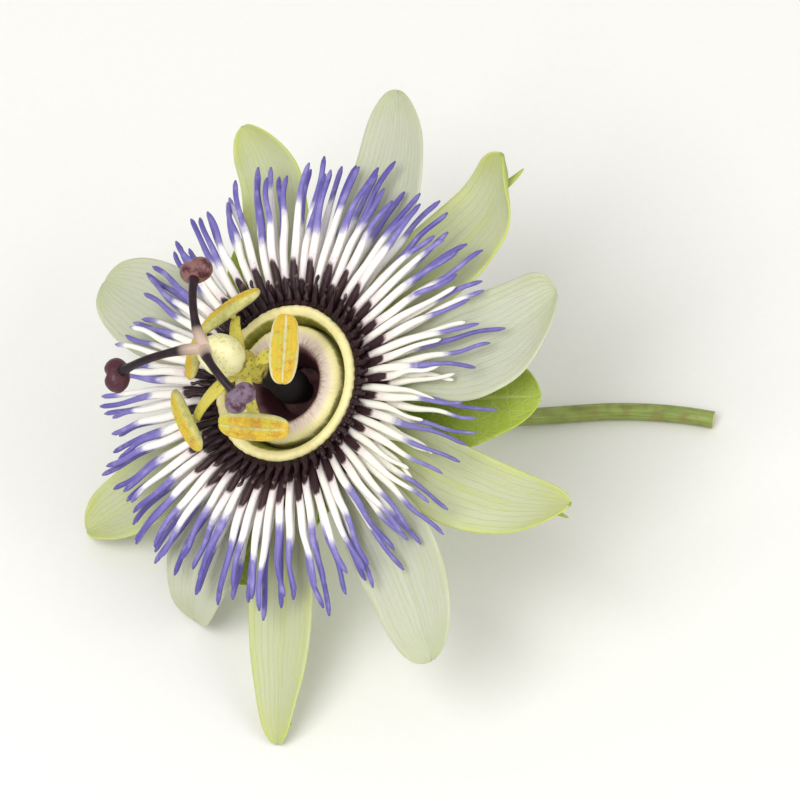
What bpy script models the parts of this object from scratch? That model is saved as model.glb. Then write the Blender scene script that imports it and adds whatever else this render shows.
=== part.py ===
"""A passion flower, picked with its stalk and laid face up on a table.

The bloom is modelled about its own axis, with the plane where the petals join the cup at z = 0, and
one empty then leans it over.  It rests on the tips of two sepals and on its stalk.
"""

import math

import bmesh
import bpy
from mathutils import Matrix, Vector

MM = 0.001
GAP = 0.3 * MM  # air between pieces that meet
CUP_SIDES = 40
RING_SIDES = 48
COLUMN_SIDES = 20

# How the bloom lies: its axis leans from upright towards a compass heading, over the low side.
FACE_TILT = math.radians(35.5)
FACE_HEADING = math.radians(211.0)
BLOOM_PLACE = (-13.25 * MM, -0.8 * MM, 27.4 * MM)  # the middle of the petal plane over the table

# The cup under the bloom
CUP_R = 10.5 * MM
CUP_WALL = 3.8 * MM
CUP_DEPTH = 10.0 * MM
CUP_FLOOR = -1.6 * MM
CUP_NECK_R = 1.9 * MM
BOWL_R = 9.0 * MM

# The lid ring over the nectar bowl and the collar inside it: radius and height in mm, down the
# outer side from the top and up the inner side
BOWL_FOOT = -1.3
LID = (
    (9.6, 3.7), (10.05, 3.5), (10.15, 3.1), (9.9, 2.6), (9.1, 2.1), (8.75, 1.2), (8.75, BOWL_FOOT),
    (8.1, BOWL_FOOT), (8.1, 1.2), (8.5, 2.2), (9.1, 3.3), (9.6, 3.7),
)
COLLAR = (
    (5.4, 3.4), (6.0, 3.3), (6.9, 2.8), (7.4, 2.1), (7.7, 1.0), (7.7, BOWL_FOOT),
    (3.4, BOWL_FOOT), (3.9, 0.6), (4.7, 2.4), (5.0, 3.1), (5.4, 3.4),
)

# Sepals and petals, in degrees from the low side of the bloom
WHORL = 5
FIRST_SEPAL = -26.5
FIRST_PETAL = 9.5
BLADE_THICK = 0.8 * MM
BLADE_ROWS = 11
BLADE_COLUMNS = 6
TIP_CROWDING = 1.35  # above 1, the rows of faces draw together towards the tip
SEPAL_Z = -3.0 * MM
SEPAL_START = -6.0
SEPAL_CUP = 0.26
PETAL_Z = -0.75 * MM
PETAL_START = -5.0
PETAL_CUP = 0.15
# For each: turn off an even fifth of the circle, length and width in mm, then the fall from root to
# tip, the curl of the outer third and the twist, in degrees, and how far its middle bows aside in mm
SEPALS = (
    (10.2, 27.4, 11.0, -9.2, 20, 8, 0.0),
    (-2.7, 35.0, 9.8, -12.4, 8, -4, 0.0),
    (-0.8, 30.8, 10.8, -12.6, 30, 6, -3.5),
    (0.0, 30.6, 12.4, -16.9, 62, -10, -2.9),
    (-12.0, 30.0, 9.8, -14.4, 55, 4, -1.2),
)
PETALS = (
    (5.9, 25.0, 11.6, -19.4, -30, -4, 0.0),
    (-4.3, 30.0, 12.0, -10.8, -10, 5, 3.0),
    (4.7, 26.4, 14.0, -13.6, 12, -6, -3.8),
    (-8.0, 31.4, 11.2, -10.9, 6, 3, -3.8),
    (-5.8, 28.1, 12.5, -14.8, 14, 6, 0.0),
)
# How blunt each tip is: below 2 it is drawn out, above 2 it is squared off
SEPAL_POINTS = (2.6, 1.65, 1.8, 2.3, 2.6)
PETAL_POINTS = (2.2, 2.9, 3.4, 1.7, 3.0)
# The awn: a small horn on the back of each sepal, near its tip
AWN_AT = 0.86
AWN_LENGTH = 3.4 * MM
AWN_R = 0.7 * MM
AWN_SPLAY = 38.0

# Bracts: three leaves on the stalk, just under the cup
BRACTS = ((18.0, 25.0), (138.0, 29.5), (258.0, 27.0))  # turn in degrees, length in mm
BRACT_WIDTH = 17.0 * MM
BRACT_BELOW = 13.0 * MM
BRACT_ROOT_R = 2.1 * MM
BRACT_CUP = 0.24
BRACT_RISE = 24.0
BRACT_FALL = -34.0

# The crown of threads: two long rows and a short dark one inside them
CROWN_INNER_R = 10.45 * MM
CROWN_ROOT_R = 11.15 * MM
LONG_THREADS = 72
LONG_STATIONS = 4
LONG_TALL = 0.9 * MM
OUTER_ROW = {"z": 0.3 * MM, "reach": 20.35 * MM, "rise": 6.0, "fall": -24.0, "shift": 0.0}
SECOND_ROW = {"z": 1.5 * MM, "reach": 18.95 * MM, "rise": 13.0, "fall": -31.0, "shift": 0.5}
THREAD_ROOT = 0.9
THREAD_TIP = 0.62
SHORT_THREADS = 54
SHORT_STATIONS = 3
SHORT_TALL = 0.8 * MM
SHORT_ROW = {"z": 2.7 * MM, "reach": 4.35 * MM, "rise": 34.0, "fall": -14.0, "shift": 0.0}
THREAD_SWAY = 1.6

# The column in the middle carries the stamens and the ovary, and leans a little.
COLUMN_LEAN = math.radians(10.5)
COLUMN_LEAN_TOWARDS = math.radians(295.5)
COLUMN_R = 1.5 * MM
COLUMN_TOP_R = 1.95 * MM
COLUMN_TOP = 12.0 * MM
COLUMN_FOOT_R = 2.4 * MM
OVARY_R = 2.6 * MM
OVARY_LENGTH = 6.6 * MM

# Stamens: turn, strap length in mm, and how far the anther is skewed across the strap's end
STAMENS = ((-5.0, 8.2, -1), (68.0, 6.0, -30), (151.0, 3.9, -6), (254.0, 5.4, 10), (304.0, 5.6, 52))
STRAP_WIDTH = 1.9 * MM
STRAP_THICK = 0.7 * MM
STRAP_RISE = 14.0
STRAP_BEND = -44.0
STRAP_BELOW = 1.2 * MM
ANTHER_LENGTH = 9.8 * MM
ANTHER_WIDTH = 3.8 * MM
ANTHER_THICK = 1.9 * MM
ANTHER_BLUNT = 0.78
ANTHER_PITCH = 46.0

# Styles: turn, length in mm, rise at the root and bend to the tip, in degrees
STYLES = ((244.0, 11.2, 20, -52), (330.0, 14.6, 24, -52), (91.0, 9.8, 16, -58))
STYLE_SPREAD = 1.1 * MM
STYLE_LIFT = 0.8 * MM
STYLE_SHARES = (0.0, 0.2, 0.4, 0.58, 0.7, 0.76, 0.83, 0.92, 0.98, 1.0)
STYLE_RADII = (0.75, 0.62, 0.6, 0.6, 0.7, 1.1, 1.75, 2.0, 1.45, 0.6)

# The stalk bends down to the table and lies along it.
STALK_R = 1.15 * MM
STALK_FLARE = 0.35
STALK_LIE = 17.0 * MM
STALK_VEER = math.radians(-44.0)
STALK_POINTS = 26
STALK_FLARE_POINTS = 3
FLAT = 0.12 * MM  # how far the resting spots are flattened
RESTING = ("sepal_1", "sepal_2", "stalk")


def clear_scene():
    for obj in list(bpy.data.objects):
        bpy.data.objects.remove(obj)


def new_collection(name, shown=True):
    collection = bpy.data.collections.new(name)
    bpy.context.scene.collection.children.link(collection)
    collection.hide_render = not shown
    return collection


def material(name, colour, roughness):
    made = bpy.data.materials.new(name)
    made.use_nodes = True
    shader = made.node_tree.nodes["Principled BSDF"]
    shader.inputs["Base Color"].default_value = (*colour, 1.0)
    shader.inputs["Roughness"].default_value = roughness
    shader.inputs["Metallic"].default_value = 0.0
    return made


def add_object(name, data, collection, parent=None, turn=0.0, finish=None):
    """Links the object under its parent, turned about the parent's axis by so many degrees."""
    obj = bpy.data.objects.new(name, data)
    collection.objects.link(obj)
    obj.parent = parent
    obj.rotation_euler.z = math.radians(turn)
    if finish:
        data.materials.append(finish)
    return obj


def smooth_step(t):
    t = min(max(t, 0.0), 1.0)
    return t * t * (3.0 - 2.0 * t)


def bent_line(length, angle_at, steps=240):
    """Points (distance out, height, angle) along a line that slopes angle_at(u) degrees at share u."""
    out = height = 0.0
    points = [(0.0, 0.0, math.radians(angle_at(0.0)))]
    for step in range(steps):
        angle = math.radians(angle_at((step + 0.5) / steps))
        out += math.cos(angle) * length / steps
        height += math.sin(angle) * length / steps
        points.append((out, height, math.radians(angle_at((step + 1) / steps))))
    return points


def blade_line(length, start, fall, curl):
    """The middle line of a sepal or petal; its curl is all in the outer third."""
    return bent_line(length, lambda u: start + fall * u + curl * smooth_step((u - 0.62) / 0.38))


def bowed(bow, u):
    """How far a blade's middle line stands aside at share u: an arch that is highest half way."""
    return bow * 4.0 * u * (1.0 - u)


def blade_mesh(
    name, line, half_width, cup, twist, root_r, bow=0.0, rows=BLADE_ROWS, columns=BLADE_COLUMNS
):
    """A thin leaf-like sheet along the line, with its root edge round a circle of radius root_r.

    half_width(u) is the sheet's half width, cup how far its edges rise, as a share of that, twist
    its turn about its own line from root to tip, in degrees, and bow how far it arches aside."""
    sheet = bmesh.new()
    bmesh.ops.create_grid(sheet, x_segments=columns, y_segments=rows, size=0.5)
    for vert in sheet.verts:
        across = vert.co.x * 2.0
        u = 1.0 - (0.5 - vert.co.y) ** TIP_CROWDING
        out, height, angle = line[round(u * (len(line) - 1))]
        width = half_width(u)
        turned = math.radians(twist) * u
        side = across * width
        lift = cup * width * across * across * smooth_step(u * 2.5)
        side, lift = (
            side * math.cos(turned) - lift * math.sin(turned),
            side * math.sin(turned) + lift * math.cos(turned),
        )
        round_root = (1.0 - smooth_step(u * 3.0)) * side * side / (2.0 * root_r)
        vert.co = Vector(
            (
                root_r + out - lift * math.sin(angle) - round_root,
                side + bowed(bow, u),
                height + lift * math.cos(angle),
            )
        )
    bmesh.ops.triangulate(sheet, faces=sheet.faces)
    bmesh.ops.recalc_face_normals(sheet, faces=sheet.faces)
    if sum(face.normal.z for face in sheet.faces) < 0:
        bmesh.ops.reverse_faces(sheet, faces=sheet.faces)
    mesh = bpy.data.meshes.new(name)
    sheet.to_mesh(mesh)
    sheet.free()
    mesh.shade_smooth()
    return mesh


def thicken(obj, thick):
    solid = obj.modifiers.new("thickness", "SOLIDIFY")
    solid.thickness = thick
    solid.offset = 0.0
    solid.use_even_offset = False


def sepal_half_width(u, width, point):
    """Widest below the middle, drawn out to a narrow hooked tip."""
    body = 0.66 + 0.34 * math.sin(math.pi * min(u / 0.62, 1.0) ** 0.9 * 0.5)
    taper = math.sqrt(max(1.0 - (max(u - 0.34, 0.0) / 0.68) ** point, 0.0))
    return width / 2 * max(body * taper, 0.09)


def petal_half_width(u, width, point):
    """Narrow at the root and widest near the middle; the tip is blunt or drawn out."""
    body = 0.56 + 0.44 * smooth_step(u / 0.55)
    taper = math.sqrt(max(1.0 - (max(u - 0.46, 0.0) / 0.55) ** point, 0.0))
    return width / 2 * max(body * taper, 0.15)


def bract_half_width(u):
    """Egg-shaped, clasping the stalk with a narrow root."""
    body = 0.13 + 0.87 * smooth_step(u / 0.4)
    taper = math.sqrt(max(1.0 - (max(u - 0.3, 0.0) / 0.71) ** 2.0, 0.0))
    return BRACT_WIDTH / 2 * max(body * taper, 0.1)


def make_awn(name, line, bow, collection):
    """A little cone off the back of a blade, for joining to it."""
    cone = bmesh.new()
    bmesh.ops.create_cone(
        cone, cap_ends=True, segments=6, radius1=AWN_R, radius2=AWN_R * 0.35, depth=AWN_LENGTH
    )
    bmesh.ops.translate(cone, verts=cone.verts, vec=(0.0, 0.0, AWN_LENGTH / 2))
    out, height, angle = line[round(AWN_AT * (len(line) - 1))]
    tip_over = math.radians(90.0 + AWN_SPLAY) - angle
    bmesh.ops.rotate(cone, verts=cone.verts, matrix=Matrix.Rotation(tip_over, 3, "Y"))
    bmesh.ops.translate(cone, verts=cone.verts, vec=(CUP_R + GAP + out, bowed(bow, AWN_AT), height))
    mesh = bpy.data.meshes.new(name)
    cone.to_mesh(mesh)
    cone.free()
    awn = add_object(name, mesh, collection)
    awn.hide_render = True
    awn.display_type = "WIRE"
    return awn


def build_sepals(parent, collection, helpers, finish):
    for index, (turn, length, width, fall, curl, twist, bow) in enumerate(SEPALS):
        name = f"sepal_{index + 1}"
        point = SEPAL_POINTS[index]
        line = blade_line(length * MM, SEPAL_START, fall, curl)
        mesh = blade_mesh(
            name, line, lambda u: sepal_half_width(u, width * MM, point), SEPAL_CUP, twist, CUP_R + GAP,
            bow * MM,
        )
        turn += FIRST_SEPAL + index * 360.0 / WHORL
        sepal = add_object(name, mesh, collection, parent, turn, finish)
        sepal.location.z = SEPAL_Z
        thicken(sepal, BLADE_THICK)
        awn = make_awn(f"awn_{index + 1}", line, bow * MM, helpers)
        awn.parent = parent
        awn.rotation_euler.z = sepal.rotation_euler.z
        awn.location.z = SEPAL_Z
        join = sepal.modifiers.new("awn", "BOOLEAN")
        join.operation = "UNION"
        join.solver = "EXACT"
        join.object = awn


def build_petals(parent, collection, finish):
    for index, (turn, length, width, fall, curl, twist, bow) in enumerate(PETALS):
        name = f"petal_{index + 1}"
        point = PETAL_POINTS[index]
        line = blade_line(length * MM, PETAL_START, fall, curl)
        mesh = blade_mesh(
            name, line, lambda u: petal_half_width(u, width * MM, point), PETAL_CUP, twist, CUP_R + GAP,
            bow * MM,
        )
        turn += FIRST_PETAL + index * 360.0 / WHORL
        petal = add_object(name, mesh, collection, parent, turn, finish)
        petal.location.z = PETAL_Z
        thicken(petal, BLADE_THICK)


def build_bracts(parent, collection, finish):
    for index, (turn, length) in enumerate(BRACTS):
        name = f"bract_{index + 1}"
        line = bent_line(length * MM, lambda u: BRACT_RISE + BRACT_FALL * u)
        mesh = blade_mesh(name, line, bract_half_width, BRACT_CUP, 0.0, BRACT_ROOT_R)
        bract = add_object(name, mesh, collection, parent, turn, finish)
        bract.location.z = -BRACT_BELOW
        thicken(bract, BLADE_THICK)


def turned(name, profile, steps, collection, parent, finish):
    """A solid of revolution from an open profile that runs down its outer side."""
    mesh = bpy.data.meshes.new(name)
    edges = [(i, i + 1) for i in range(len(profile) - 1)]
    mesh.from_pydata([(r, 0.0, z) for r, z in profile], edges, [])
    obj = add_object(name, mesh, collection, parent, finish=finish)
    spin = obj.modifiers.new("turn", "SCREW")
    spin.steps = spin.render_steps = steps
    spin.use_merge_vertices = True
    spin.merge_threshold = 0.00001
    spin.use_smooth_shade = True
    return obj


def build_cup(parent, collection, finish):
    """The shallow bowl that everything grows from; its outside narrows to the stalk."""
    outside = []
    for step in range(9):
        t = step / 8.0
        swell = math.cos(t * math.pi / 2) ** 0.8
        depth = CUP_WALL + (CUP_DEPTH - CUP_WALL) * t
        outside.append((CUP_NECK_R + (CUP_R - CUP_NECK_R) * swell, -depth))
    inside = [(0.0, CUP_FLOOR), (BOWL_R, CUP_FLOOR), (BOWL_R + 0.2 * MM, 0.0), (CUP_R, 0.0)]
    profile = [*inside, *outside, (0.0, -CUP_DEPTH)]
    return turned("floral_cup", profile, CUP_SIDES, collection, parent, finish)


def build_rings(parent, collection, lid_finish, collar_finish):
    """The lid ring (operculum) and the collar (limen) that close the nectar bowl."""
    for name, outline, finish in (("operculum", LID, lid_finish), ("limen", COLLAR, collar_finish)):
        profile = [(radius * MM, height * MM) for radius, height in outline]
        turned(name, profile, RING_SIDES, collection, parent, finish)


def crown_ring(count, tall):
    """A thin flat ring with one outer face for each thread."""
    ring = bmesh.new()
    corners = [(CROWN_INNER_R, 0.0), (CROWN_ROOT_R, 0.0), (CROWN_ROOT_R, tall), (CROWN_INNER_R, tall)]
    verts = [ring.verts.new((r, 0.0, z)) for r, z in corners]
    edges = [ring.edges.new((verts[i], verts[(i + 1) % 4])) for i in range(4)]
    bmesh.ops.spin(
        ring, geom=verts + edges, cent=(0, 0, 0), axis=(0, 0, 1), angle=2 * math.pi,
        steps=count, use_merge=True, use_duplicate=False,
    )
    bmesh.ops.remove_doubles(ring, verts=ring.verts, dist=0.01 * MM)
    bmesh.ops.recalc_face_normals(ring, faces=ring.faces)
    return ring


def draw_out_thread(ring, face, row, index, stations):
    """Draws one outer face out into a tapering thread; neighbours sway and rise by turns."""
    root = face.calc_center_median()
    outward = Vector((root.x, root.y, 0.0)).normalized()
    sideways = Vector((-outward.y, outward.x, 0.0))
    lean = math.tan(math.radians(THREAD_SWAY * math.sin(index * 2.4)))
    rise = row["rise"] + 1.6 * math.sin(index * 3.1)
    reach = row["reach"] * (0.95 + 0.05 * math.sin(index * 1.7 + 0.6))
    line = bent_line(reach, lambda u: rise + row["fall"] * u)
    size_before = 1.0
    for station in range(1, stations + 1):
        u = station / stations
        out, height, _ = line[round(u * (len(line) - 1))]
        size = THREAD_ROOT + (THREAD_TIP - THREAD_ROOT) * u
        face = bmesh.ops.extrude_discrete_faces(ring, faces=[face])["faces"][0]
        centre = face.calc_center_median()
        target = root + outward * out + sideways * out * lean * u
        target.z += height
        for vert in face.verts:
            vert.co = target + (vert.co - centre) * size / size_before
        size_before = size


def crown_row(name, row, count, stations, tall, parent, collection, finish):
    """One row of threads, shifted by a share of their pitch so that it fills the gaps of the last."""
    ring = crown_ring(count, tall)
    outer = [f for f in ring.faces if min(v.co.xy.length for v in f.verts) > CROWN_ROOT_R - 0.05 * MM]
    for face in outer:
        middle = face.calc_center_median()
        index = round(math.atan2(middle.y, middle.x) / (2 * math.pi / count) - 0.5)
        draw_out_thread(ring, face, row, index, stations)
    mesh = bpy.data.meshes.new(name)
    ring.to_mesh(mesh)
    ring.free()
    turn = row["shift"] * 360.0 / count
    obj = add_object(name, mesh, collection, parent, turn, finish)
    obj.location.z = row["z"]
    return obj


def build_column(parent, collection, finish):
    """The round column, on a swollen foot that just clears the floor of the cup."""
    foot = CUP_FLOOR + GAP + 0.4 * MM
    profile = [
        (0.0, COLUMN_TOP), (COLUMN_TOP_R * 0.9, COLUMN_TOP), (COLUMN_TOP_R, COLUMN_TOP - 0.5 * MM),
        (COLUMN_TOP_R, COLUMN_TOP - 1.8 * MM), (COLUMN_R, COLUMN_TOP - 3.6 * MM), (COLUMN_R, 4.6 * MM),
        (COLUMN_FOOT_R * 0.8, 3.2 * MM), (COLUMN_FOOT_R, 1.6 * MM), (COLUMN_FOOT_R * 0.9, 0.4 * MM),
        (COLUMN_R, foot), (0.0, foot),
    ]
    return turned("column", profile, COLUMN_SIDES, collection, parent, finish)


def build_ovary(parent, collection, finish):
    base = COLUMN_TOP + GAP
    profile = [(0.0, base + OVARY_LENGTH)]
    for step in range(1, 9):
        t = step / 9.0 * math.pi
        profile.append((OVARY_R * math.sin(t) ** 0.8, base + OVARY_LENGTH * (0.5 + 0.5 * math.cos(t))))
    profile.append((0.0, base))
    return turned("ovary", profile, COLUMN_SIDES, collection, parent, finish)


def strap_half_width(u):
    """Narrow where five crowd round the column, widest a third of the way out."""
    return STRAP_WIDTH / 2 * (0.6 + 0.4 * smooth_step(u * 3.0) - 0.4 * u)


def anther_mesh(name):
    """A long flat pod with its length along Y and its thin side along X."""
    body = bmesh.new()
    bmesh.ops.create_uvsphere(body, u_segments=10, v_segments=7, radius=1.0)
    for vert in body.verts:
        vert.co = Vector([math.copysign(abs(c) ** ANTHER_BLUNT, c) / 2 for c in vert.co])
    size = Matrix.Diagonal((ANTHER_THICK, ANTHER_WIDTH, ANTHER_LENGTH, 1.0))
    bmesh.ops.transform(body, matrix=Matrix.Rotation(math.radians(90), 4, "X") @ size, verts=body.verts)
    mesh = bpy.data.meshes.new(name)
    body.to_mesh(mesh)
    body.free()
    mesh.shade_smooth()
    return mesh


def build_stamens(parent, collection, strap_finish, anther_finish):
    """Five straps round the top of the column, each with an anther lying across its end."""
    root_r = COLUMN_TOP_R + GAP
    strap_z = COLUMN_TOP - STRAP_BELOW
    for index, (turn, length, skew) in enumerate(STAMENS):
        line = bent_line(length * MM, lambda u: STRAP_RISE + STRAP_BEND * u)
        name = f"stamen_strap_{index + 1}"
        mesh = blade_mesh(name, line, strap_half_width, 0.0, 0.0, root_r, rows=5, columns=2)
        strap = add_object(name, mesh, collection, parent, turn, strap_finish)
        strap.location.z = strap_z
        thicken(strap, STRAP_THICK)
        name = f"anther_{index + 1}"
        anther = add_object(name, anther_mesh(name), collection, parent, 0.0, anther_finish)
        out, height, _ = line[-1]
        pitch = math.radians(ANTHER_PITCH)
        lift = (ANTHER_THICK + STRAP_THICK) / 2 + GAP
        reach = root_r + out + lift * math.cos(pitch)
        angle = math.radians(turn)
        anther.location = (
            reach * math.cos(angle), reach * math.sin(angle), strap_z + height + lift * math.sin(pitch)
        )
        anther.rotation_euler = (math.radians(skew), -pitch, angle)


def build_styles(parent, collection, finish):
    """Three bent rods off the top of the ovary, each swelling to a round stigma."""
    top = COLUMN_TOP + GAP + OVARY_LENGTH
    for index, (turn, length, rise, bend) in enumerate(STYLES):
        name = f"style_{index + 1}"
        curve = bpy.data.curves.new(name, "CURVE")
        curve.dimensions = "3D"
        curve.bevel_depth = 1.0
        curve.bevel_resolution = 2
        curve.use_fill_caps = True
        line = bent_line(length * MM, lambda u: rise + bend * u)
        spline = curve.splines.new("POLY")
        spline.points.add(len(STYLE_SHARES) - 1)
        for point, share, radius in zip(spline.points, STYLE_SHARES, STYLE_RADII):
            out, height, _ = line[round(share * (len(line) - 1))]
            point.co = (STYLE_SPREAD + out, 0.0, top + STYLE_LIFT + height, 1.0)
            point.radius = radius * MM
        add_object(name, curve, collection, parent, turn, finish)


def stalk_points(start, away):
    """Down along the bloom's axis, bending level as it meets the table, then veering along it."""
    pitch = math.asin(-away.z)
    drop = start.z - (STALK_R - FLAT)
    bend_length = drop * pitch / (1.0 - math.cos(pitch))
    heading = math.atan2(away.y, away.x)
    total = bend_length + STALK_LIE
    points = [start.copy()]
    steps = STALK_POINTS - 1
    for step in range(steps):
        along = (step + 0.5) / steps * total
        slope = -pitch * max(1.0 - along / bend_length, 0.0)
        course = heading + STALK_VEER * (along / total) ** 1.5
        points.append(
            points[-1]
            + Vector(
                (
                    math.cos(slope) * math.cos(course),
                    math.cos(slope) * math.sin(course),
                    math.sin(slope),
                )
            )
            * (total / steps)
        )
    return points


def build_stalk(bloom, collection, finish):
    frame = Matrix.Translation(bloom.location) @ bloom.rotation_euler.to_matrix().to_4x4()
    start = frame @ Vector((0.0, 0.0, -CUP_DEPTH - GAP))
    away = (frame.to_3x3() @ Vector((0.0, 0.0, -1.0))).normalized()
    points = stalk_points(start, away)
    curve = bpy.data.curves.new("stalk_line", "CURVE")
    curve.dimensions = "3D"
    curve.bevel_depth = STALK_R
    curve.bevel_resolution = 2
    curve.use_fill_caps = True
    spline = curve.splines.new("POLY")
    spline.points.add(len(points) - 1)
    for index, (point, place) in enumerate(zip(spline.points, points)):
        point.co = (*place, 1.0)
        point.radius = 1.0 + STALK_FLARE * max(0.0, 1.0 - index / STALK_FLARE_POINTS)
    line = add_object("stalk_line", curve, collection)
    graph = bpy.context.evaluated_depsgraph_get()
    mesh = bpy.data.meshes.new_from_object(line.evaluated_get(graph))
    welded = bmesh.new()
    welded.from_mesh(mesh)
    bmesh.ops.remove_doubles(welded, verts=welded.verts, dist=0.01 * MM)
    welded.to_mesh(mesh)
    welded.free()
    bpy.data.objects.remove(line)
    return add_object("stalk", mesh, collection, finish=finish)


def table_cutter(collection):
    """The space under the table top, which takes the resting spots off flat."""
    block = bmesh.new()
    bmesh.ops.create_cube(block, size=0.2)
    bmesh.ops.translate(block, verts=block.verts, vec=(0.0, 0.0, -0.1))
    mesh = bpy.data.meshes.new("table_cutter")
    block.to_mesh(mesh)
    block.free()
    cutter = add_object("table_cutter", mesh, collection)
    cutter.hide_render = True
    cutter.display_type = "WIRE"
    return cutter


def flatten_under(obj, cutter):
    cut = obj.modifiers.new("rest", "BOOLEAN")
    cut.operation = "DIFFERENCE"
    cut.solver = "EXACT"
    cut.object = cutter


def main():
    clear_scene()
    flower = new_collection("passion_flower")
    helpers = new_collection("helpers", shown=False)
    green = material("stalk_green", (0.28, 0.36, 0.10), 0.5)
    bract_green = material("bract_green", (0.33, 0.43, 0.13), 0.55)
    sepal_white = material("sepal_cream_green", (0.66, 0.70, 0.42), 0.5)
    petal_white = material("petal_white", (0.74, 0.77, 0.60), 0.5)
    thread_blue = material("thread_blue_white", (0.45, 0.42, 0.62), 0.5)
    thread_dark = material("thread_dark", (0.05, 0.02, 0.03), 0.5)
    cream = material("ring_cream", (0.80, 0.72, 0.40), 0.4)
    pink_cream = material("collar_cream", (0.76, 0.68, 0.50), 0.4)
    column_green = material("column_green", (0.55, 0.56, 0.22), 0.45)
    pollen = material("anther_yellow", (0.72, 0.60, 0.12), 0.8)
    purple = material("style_purple", (0.09, 0.03, 0.05), 0.4)

    bloom = add_object("bloom_axis", None, flower)
    bloom.location = BLOOM_PLACE
    bloom.rotation_mode = "XYZ"
    bloom.rotation_euler = (0.0, FACE_TILT, FACE_HEADING)
    lean = add_object("column_axis", None, flower, bloom)
    lean.rotation_euler = (0.0, COLUMN_LEAN, COLUMN_LEAN_TOWARDS)
    spine = add_object("column_turn", None, flower, lean)
    spine.rotation_euler = (0.0, 0.0, -COLUMN_LEAN_TOWARDS)

    build_cup(bloom, flower, green)
    build_sepals(bloom, flower, helpers, sepal_white)
    build_petals(bloom, flower, petal_white)
    build_bracts(bloom, flower, bract_green)
    long_row = (LONG_THREADS, LONG_STATIONS, LONG_TALL)
    crown_row("crown_outer", OUTER_ROW, *long_row, bloom, flower, thread_blue)
    crown_row("crown_second", SECOND_ROW, *long_row, bloom, flower, thread_blue)
    short_row = (SHORT_THREADS, SHORT_STATIONS, SHORT_TALL)
    crown_row("crown_short", SHORT_ROW, *short_row, bloom, flower, thread_dark)
    build_rings(bloom, flower, cream, pink_cream)
    build_column(spine, flower, column_green)
    build_ovary(spine, flower, column_green)
    build_stamens(spine, flower, column_green, pollen)
    build_styles(spine, flower, purple)
    build_stalk(bloom, flower, green)

    cutter = table_cutter(helpers)
    for name in RESTING:
        flatten_under(bpy.data.objects[name], cutter)
    bpy.context.view_layer.update()


main()
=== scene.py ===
"""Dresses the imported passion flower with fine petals, threads, stamens and living surfaces.

Every piece is built about the bloom's own axis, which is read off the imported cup, and keeps the line
and outline of the solid that it stands for.
"""

import math
import random

import bmesh
import bpy
from bpy.props import FloatProperty, FloatVectorProperty, PointerProperty
from mathutils import Euler, Matrix, Vector, noise


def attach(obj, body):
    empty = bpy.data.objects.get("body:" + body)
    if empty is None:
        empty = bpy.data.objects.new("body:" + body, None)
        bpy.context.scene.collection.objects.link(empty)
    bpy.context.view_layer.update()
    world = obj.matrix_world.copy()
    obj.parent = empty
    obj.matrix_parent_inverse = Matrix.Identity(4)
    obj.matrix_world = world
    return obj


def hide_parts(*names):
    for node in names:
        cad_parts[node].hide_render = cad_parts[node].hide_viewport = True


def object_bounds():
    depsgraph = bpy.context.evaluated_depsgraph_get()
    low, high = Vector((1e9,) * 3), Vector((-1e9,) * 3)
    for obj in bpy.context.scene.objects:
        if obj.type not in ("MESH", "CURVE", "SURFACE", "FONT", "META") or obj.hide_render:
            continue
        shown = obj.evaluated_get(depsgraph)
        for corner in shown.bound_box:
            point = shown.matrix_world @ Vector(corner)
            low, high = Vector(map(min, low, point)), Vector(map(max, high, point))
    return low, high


bl_info = {
    "name": "Passion Flower Bloom",
    "version": (1, 0, 0),
    "blender": (4, 5, 0),
    "location": "View3D > Sidebar > Passion Flower",
    "description": "Builds the fine petals, threads and centre of a passion flower round its solids",
    "category": "Object",
}

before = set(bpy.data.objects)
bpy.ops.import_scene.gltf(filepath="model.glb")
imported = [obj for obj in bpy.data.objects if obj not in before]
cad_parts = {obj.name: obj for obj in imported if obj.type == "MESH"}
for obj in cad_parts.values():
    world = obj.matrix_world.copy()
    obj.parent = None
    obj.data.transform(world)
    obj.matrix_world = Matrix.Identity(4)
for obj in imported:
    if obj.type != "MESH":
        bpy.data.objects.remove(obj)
CAD_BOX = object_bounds()

MM = 0.001
TAU = 2.0 * math.pi
UP = Vector((0.0, 0.0, 1.0))
BODY = "root"

# How the bloom leans, and where its pieces meet; lengths in mm
FACE_TILT = math.radians(35.5)
FACE_HEADING = math.radians(211.0)
COLUMN_LEAN = math.radians(10.5)
COLUMN_LEAN_TOWARDS = math.radians(295.5)
CUP_R = 10.5
CUP_WALL = 3.8
CUP_DEPTH = 10.0
CUP_FLOOR = -1.6
CUP_NECK_R = 1.9
CUP_STEPS = 16
BOWL_R = 9.0
BLADE_ROOT_R = 10.8

# The lid ring over the nectar bowl and the collar inside it: closed outlines of radius and height
LID = (
    (9.6, 3.8), (10.1, 3.68), (10.36, 3.2), (10.1, 2.65), (9.2, 2.1), (8.8, 1.2), (8.8, -1.3),
    (8.2, -1.3), (8.25, 1.2), (8.55, 2.3), (9.0, 3.4),
)
COLLAR = (
    (5.6, 3.42), (6.4, 3.4), (7.3, 3.1), (7.85, 2.5), (7.95, 1.2), (7.7, -1.3),
    (3.4, -1.3), (3.9, 0.6), (4.8, 2.4), (5.1, 3.1),
)

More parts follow.
